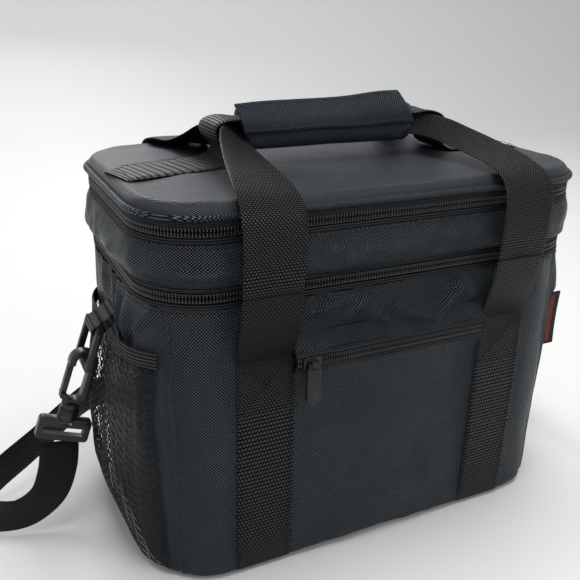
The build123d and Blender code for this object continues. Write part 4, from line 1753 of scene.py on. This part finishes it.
# ------------------------------------------------------------------ side pockets
@dataclass
class SidePocket:
    """A bulging net pocket with an elastic edge, and the webbing tab above it.

    The side is -1 on the left and 1 on the right.
    """

    label: str
    side: int
    half: float = 74.0
    low: float = 5.0
    high: float = 141.0
    columns: int = 38
    rows: int = 46
    tab_radius: float = 3.4

    def edge(self, y: float) -> float:
        """How far out the body's side stands at a distance from the middle."""
        past = max(abs(y) - (FOOT.depth / 2 - FOOT.radius), 0.0)
        return FOOT.width / 2 - FOOT.radius + math.sqrt(FOOT.radius ** 2 - past ** 2)

    def lift(self, y: float) -> float:
        """How much higher the elastic edge is sewn at the pocket's front end."""
        return 9.0 * rise(-y, 12, 70)

    def bulge(self, y: float, z: float) -> float:
        """The net's swell, with a shallow place behind the hook.

        Args:
            y: distance from the side's middle.
            z: the height.

        Returns:
            How far the net stands off the body.
        """
        across = max(0.0, 1 - (abs(y) / self.half) ** 2.2)
        v = (z - self.low) / (self.high + 10 - self.low)
        swell = 5.5 * across + 13.5 * across * math.sin(math.pi * min(max(v * 1.05, 0), 1)) ** 0.8
        soft = 1.6 * folds(y / 22, z / 60, 5.1 + self.side) + 0.8 * folds(y / 9, z / 30, 2.1)
        behind_hook = 4.2 * math.exp(-(y / 21) ** 2) * rise(z, 44, 74)
        return 1.6 + swell + soft * across - behind_hook

    def spot(self, y: float, z: float, extra: float = 0.0) -> Vector:
        """A point on the net, lifted by extra."""
        return Vector((self.side * (self.edge(y) + self.bulge(y, z) + extra), y, z))

    def build(self) -> None:
        """Make the net, the elastic edge and the webbing tab."""
        def place(u: float, v: float) -> Vector:
            """A knot of the net: odd rows lie half a hole further on.

            Args:
                u: how far along the pocket, from 0 to 1.
                v: how far up, from 0 to 1.

            Returns:
                The place of the knot.
            """
            column, row = round(u * self.columns), round(v * self.rows)
            nudge = 0.0 if row % 2 == 0 else 0.5
            across = min(1.0, max(0.0, (column + nudge) / self.columns))
            zig = 0.3 if column % 2 else -0.3
            y = (across * 2 - 1) * self.half
            top = self.high + self.lift(y)
            return self.spot(y, self.low + (top - self.low) * min(max((row + zig) / self.rows, 0), 1))

        net = laid_grid(f"net_{self.label}", self.columns, self.rows, place, (2 * self.half, 140))
        edit(net, lambda: bpy.ops.mesh.remove_doubles(threshold=0.05 * MM))
        applied(net, "WIREFRAME", thickness=0.75 * MM, use_even_offset=False, use_replace=True)
        outward(net)
        dressed(smooth(net, 80), NET, "lower_body", [f"mesh_pocket_{self.label}"])

        def bind(u: float, v: float) -> Vector:
            """Along the elastic edge with u and up it with v.

            Args:
                u: how far along the edge, from 0 to 1.
                v: how far up, from 0 to 1.

            Returns:
                The place on the elastic.
            """
            y = (u * 2 - 1) * self.half
            droop = 2.2 * folds(u * 4.0, 0.2, 7.2)
            z = self.high - 1.0 + 10.5 * v + droop + self.lift(y)
            return self.spot(y, z, 0.9 + 0.5 * math.sin(math.pi * v))

        elastic = laid_grid(f"elastic_{self.label}", 120, 6, bind, (2 * self.half, 10.5))
        dressed(smooth(thick(elastic, 1.3, offset=0, level=1), 60), ELASTIC, "lower_body",
                [f"pocket_elastic_{self.label}"])
        self.tab()

    def tab(self) -> None:
        """The webbing loop that holds the ring."""
        pivot = Vector((self.side * 168.0, 0, 150.0))
        wide = Vector((0, 1, 0))
        route = [Vector((self.side * 153.5, 0, 165.0)), Vector((self.side * 158.0, 0, 160.0))]
        for angle in (70, 30, -10, -55, -100, -145):
            turn = math.radians(angle)
            arm = Vector((self.side * math.cos(turn), 0, math.sin(turn)))
            route.append(pivot + arm * self.tab_radius)
        route += [Vector((self.side * 159.5, 0, 153.5)), Vector((self.side * 153.5, 0, 158.0))]
        strip = Webbing(f"side_tab_cloth_{self.label}", [(p, wide, 1.0) for p in route],
                        width=24.0, thickness=1.2, rows=60).build()
        dressed(strip, LID_WEBBING, "lower_body", [f"side_tab_{self.label}"])


# ------------------------------------------------------------------ strap, hardware and tag
@dataclass
class ShoulderStrap:
    """The clip-on strap: hardware on both sides and the webbing between."""

    width: float = 26.0

    def build(self) -> None:
        """Make the hardware and the strap."""
        for label in ("left", "right"):
            for node, body, bevel in ((f"ring_{label}", f"{label}_ring", 0.5),
                                      (f"hook_{label}", f"{label}_hook", 0.6),
                                      (f"hook_gate_{label}", f"{label}_gate", 0.4),
                                      (f"strap_base_{label}", f"{label}_strap_base", 0.6)):
                rounded_copy(node, body, PLASTIC, bevel)
        self.strap()

    def strap(self) -> None:
        """The webbing, which hangs in a loop at the left and runs behind the carrier."""
        route = [
            ((-197.0, 0, 70.6), (0.94, 0, -0.34)), ((-200, -2, 52), (0.88, 0, -0.47)),
            ((-208, -1, 32), (0.66, 0.05, -0.75)), ((-224, 3, 19), (0.30, 0.05, -0.95)),
            ((-240, 9, 16.5), (0, 0, -1)), ((-252, 20, 16), (0, 0, -1)),
            ((-250, 36, 19), (0, 0, -1)), ((-236, 47, 25), (0, 0, -1)),
            ((-208, 62, 35), (0, 0, -1)), ((-182, 82, 42), (0, 0, -1)),
            ((-156, 106, 42), (0, 0, -1)), ((-118, 122, 36), (0, 0, -1)),
            ((-62, 128, 26), (0, 0, -1)), ((0, 126, 18), (0, 0, -1)),
            ((62, 123, 15), (0, 0, -1)), ((120, 120, 15), (0, 0, -1)),
            ((160, 106, 16), (0, 0, -1)), ((186, 80, 18), (0, 0, -1)),
            ((199, 50, 22), (-0.2, 0, -0.98)), ((203, 25, 31), (-0.6, 0, -0.8)),
            ((200, 8, 50), (-0.85, 0, -0.5)), ((197.0, 0, 70.6), (-0.94, 0, -0.34)),
        ]
        stations = [(Vector(centre), Vector(across), 1.0) for centre, across in route]
        strap = Webbing("shoulder_strap_webbing", stations, width=self.width, thickness=1.4, rows=420).build()
        dressed(strap, WEBBING, "lower_body", ["shoulder_strap"])


@dataclass
class SideTag:
    """A small plain woven tag in the right front seam."""

    def build(self) -> None:
        """Make the tag with a plain stripe."""
        low, high = (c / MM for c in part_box("side_tag"))

        def place(u: float, v: float) -> Vector:
            """Away from the seam with u and up the tag with v."""
            bend = 0.8 * math.sin(math.pi * v) * u
            return Vector((low.x - 1 + (high.x - low.x + 1) * u, low.y + 0.4 + bend,
                           low.z + (high.z - low.z) * v))

        tag = laid_grid("woven_tag", 10, 24, place, (13, 42))
        tag = smooth(thick(tag, 0.7, offset=0, level=1))
        dressed(tag, TAG, "lower_body", ["side_tag"])

        def stripe(u: float, v: float) -> Vector:
            """A narrow band on the tag's front."""
            return place(0.35 + 0.3 * u, 0.06 + 0.88 * v) + Vector((0, -0.45, 0))

        mark = laid_grid("tag_stripe", 4, 24, stripe, (4, 37))
        dressed(smooth(thick(mark, 0.15, offset=0)), TAG_EDGE, "lower_body")


# ------------------------------------------------------------------ inner pieces, sliders and studio
@dataclass
class InnerPieces:
    """CAD pieces that keep their shape and only get a finish."""

    finishes: dict[str, Finish] = field(default_factory=lambda: {
        "lower_foam": FOAM, "upper_foam": FOAM, "base_board": BOARD,
        "lower_liner": LINING, "upper_liner": LINING, "lid_liner": LINING, "compartment_floor": LINING,
    })

    def build(self) -> None:
        """Assign the finishes to the CAD pieces' slots."""
        for node, finish in self.finishes.items():
            mesh = bpy.data.objects[node].data
            mesh.materials.clear()
            mesh.materials.append(finish.material())


@dataclass
class Sliders:
    """The three zip sliders with their pulls."""

    names: Sequence[str] = ("pocket", "main", "lid")

    def build(self) -> None:
        """Soften the sliders and pulls."""
        for name in self.names:
            rounded_copy(f"{name}_slider", f"{name}_slider", PAINTED, 0.35)
            rounded_copy(f"{name}_pull", f"{name}_pull", PAINTED, 0.5)


@dataclass
class Studio:
    """Camera, pale floor and soft light."""

    place: Vector = field(default_factory=lambda: Vector((-241.6, -441.4, 347.2)))
    yaw: float = 25.8
    pitch: float = 21.56
    roll: float = -1.18
    lens: float = 45.47

    def camera(self) -> None:
        """Put the camera at the viewing angle."""
        yaw, pitch, roll = (math.radians(a) for a in (self.yaw, self.pitch, self.roll))
        ahead = Vector((math.sin(yaw) * math.cos(pitch), math.cos(yaw) * math.cos(pitch), -math.sin(pitch)))
        right = Vector((math.cos(yaw), -math.sin(yaw), 0))
        down = ahead.cross(right)
        side = math.cos(roll) * right + math.sin(roll) * down
        under = -math.sin(roll) * right + math.cos(roll) * down
        data = bpy.data.cameras.new("camera")
        data.lens = self.lens
        data.sensor_width = 36.0
        data.clip_start = 0.01
        camera = bpy.data.objects.new("camera", data)
        bpy.context.collection.objects.link(camera)
        turn = Matrix((side, -under, -ahead)).transposed().to_4x4()
        camera.matrix_world = Matrix.Translation(self.place * MM) @ turn
        bpy.context.scene.camera = camera

    def lamp(self, name: str, where: Vector, size: float, power: float, aim: Vector) -> None:
        """One soft rectangular lamp.

        Args:
            name: its name.
            where: its place in metres.
            size: its side in metres.
            power: in watts.
            aim: the point that it faces.
        """
        data = bpy.data.lights.new(name, "AREA")
        data.shape = "SQUARE"
        data.size = size
        data.energy = power
        lamp = bpy.data.objects.new(name, data)
        bpy.context.collection.objects.link(lamp)
        lamp.location = where
        lamp.rotation_euler = (aim - where).to_track_quat("-Z", "Y").to_euler()

    def build(self) -> None:
        """Make the camera, floor, lamps and sky."""
        self.camera()
        self.floor()
        aim = Vector((0, 0, 0.12))
        self.lamp("key_lamp", Vector((0.1, 0.0, 1.7)), 1.1, 23, aim)
        self.lamp("back_lamp", Vector((0.02, 1.45, 0.80)), 0.42, 4.6, Vector((-0.1, 0, 0.25)))
        self.lamp("left_lamp", Vector((-1.5, -0.3, 1.2)), 0.9, 1.2, aim)
        self.lamp("front_lamp", Vector((1.0, -1.2, 1.0)), 0.4, 3.5, aim)
        world = bpy.context.scene.world or bpy.data.worlds.new("world")
        bpy.context.scene.world = world
        world.use_nodes = True
        sky = world.node_tree.nodes.get("Background") or world.node_tree.nodes.new("ShaderNodeBackground")
        sky.inputs["Color"].default_value = (0.93, 0.95, 1.0, 1)
        sky.inputs["Strength"].default_value = 0.52
        bpy.context.scene.view_settings.view_transform = "Standard"

    def floor(self) -> None:
        """A pale sheet that lies flat and rises in a curve far behind the carrier."""
        curve_start, wall_top, wall_at = 1.2, 0.62, 2.0
        deselect()
        bpy.ops.mesh.primitive_grid_add(x_subdivisions=40, y_subdivisions=40, size=6)
        floor = added("studio_floor")
        for vertex in floor.data.vertices:
            past = max(0.0, vertex.co.y - curve_start)
            vertex.co.z = min(past ** 2 * 1.2, wall_top)
            vertex.co.y = min(vertex.co.y, wall_at)
        smooth(floor, 80)
        pale = bpy.data.materials.new("pale_paper")
        pale.use_nodes = True
        shader = pale.node_tree.nodes["Principled BSDF"]
        shader.inputs["Base Color"].default_value = (0.76, 0.76, 0.735, 1)
        shader.inputs["Roughness"].default_value = 0.75
        floor.data.materials.append(pale)


def main() -> None:
    """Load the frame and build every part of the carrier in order."""
    logging.basicConfig(level=logging.INFO, format="%(name)s %(message)s")
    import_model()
    Studio().build()
    lower = LowerBody()
    lower.build()
    ZipChain("main_zip", MAIN_ZIP_Z, ("lower_body", "upper_compartment"), (5.0, 5.0), 0.2).build()
    UpperCompartment().build()
    rim_binding("lower_rim_binding", MAIN_ZIP_Z - RIM_DROP, "lower_body")
    rim_binding("upper_rim_binding", LID_ZIP_Z - RIM_DROP, "upper_compartment")
    ZipChain("lid_zip", LID_ZIP_Z, ("upper_compartment", "lid"), (5.0, 3.4), 1.0).build()
    Lid().build()
    for side, facing in (("front", -1), ("back", 1)):
        Handle(side, facing, lower).build()
    GripFlap().build()
    FrontPocket().build()
    for label, side in (("left", -1), ("right", 1)):
        SidePocket(label, side).build()
    ShoulderStrap().build()
    SideTag().build()
    Sliders().build()
    InnerPieces().build()


if __name__ == "__main__":
    main()
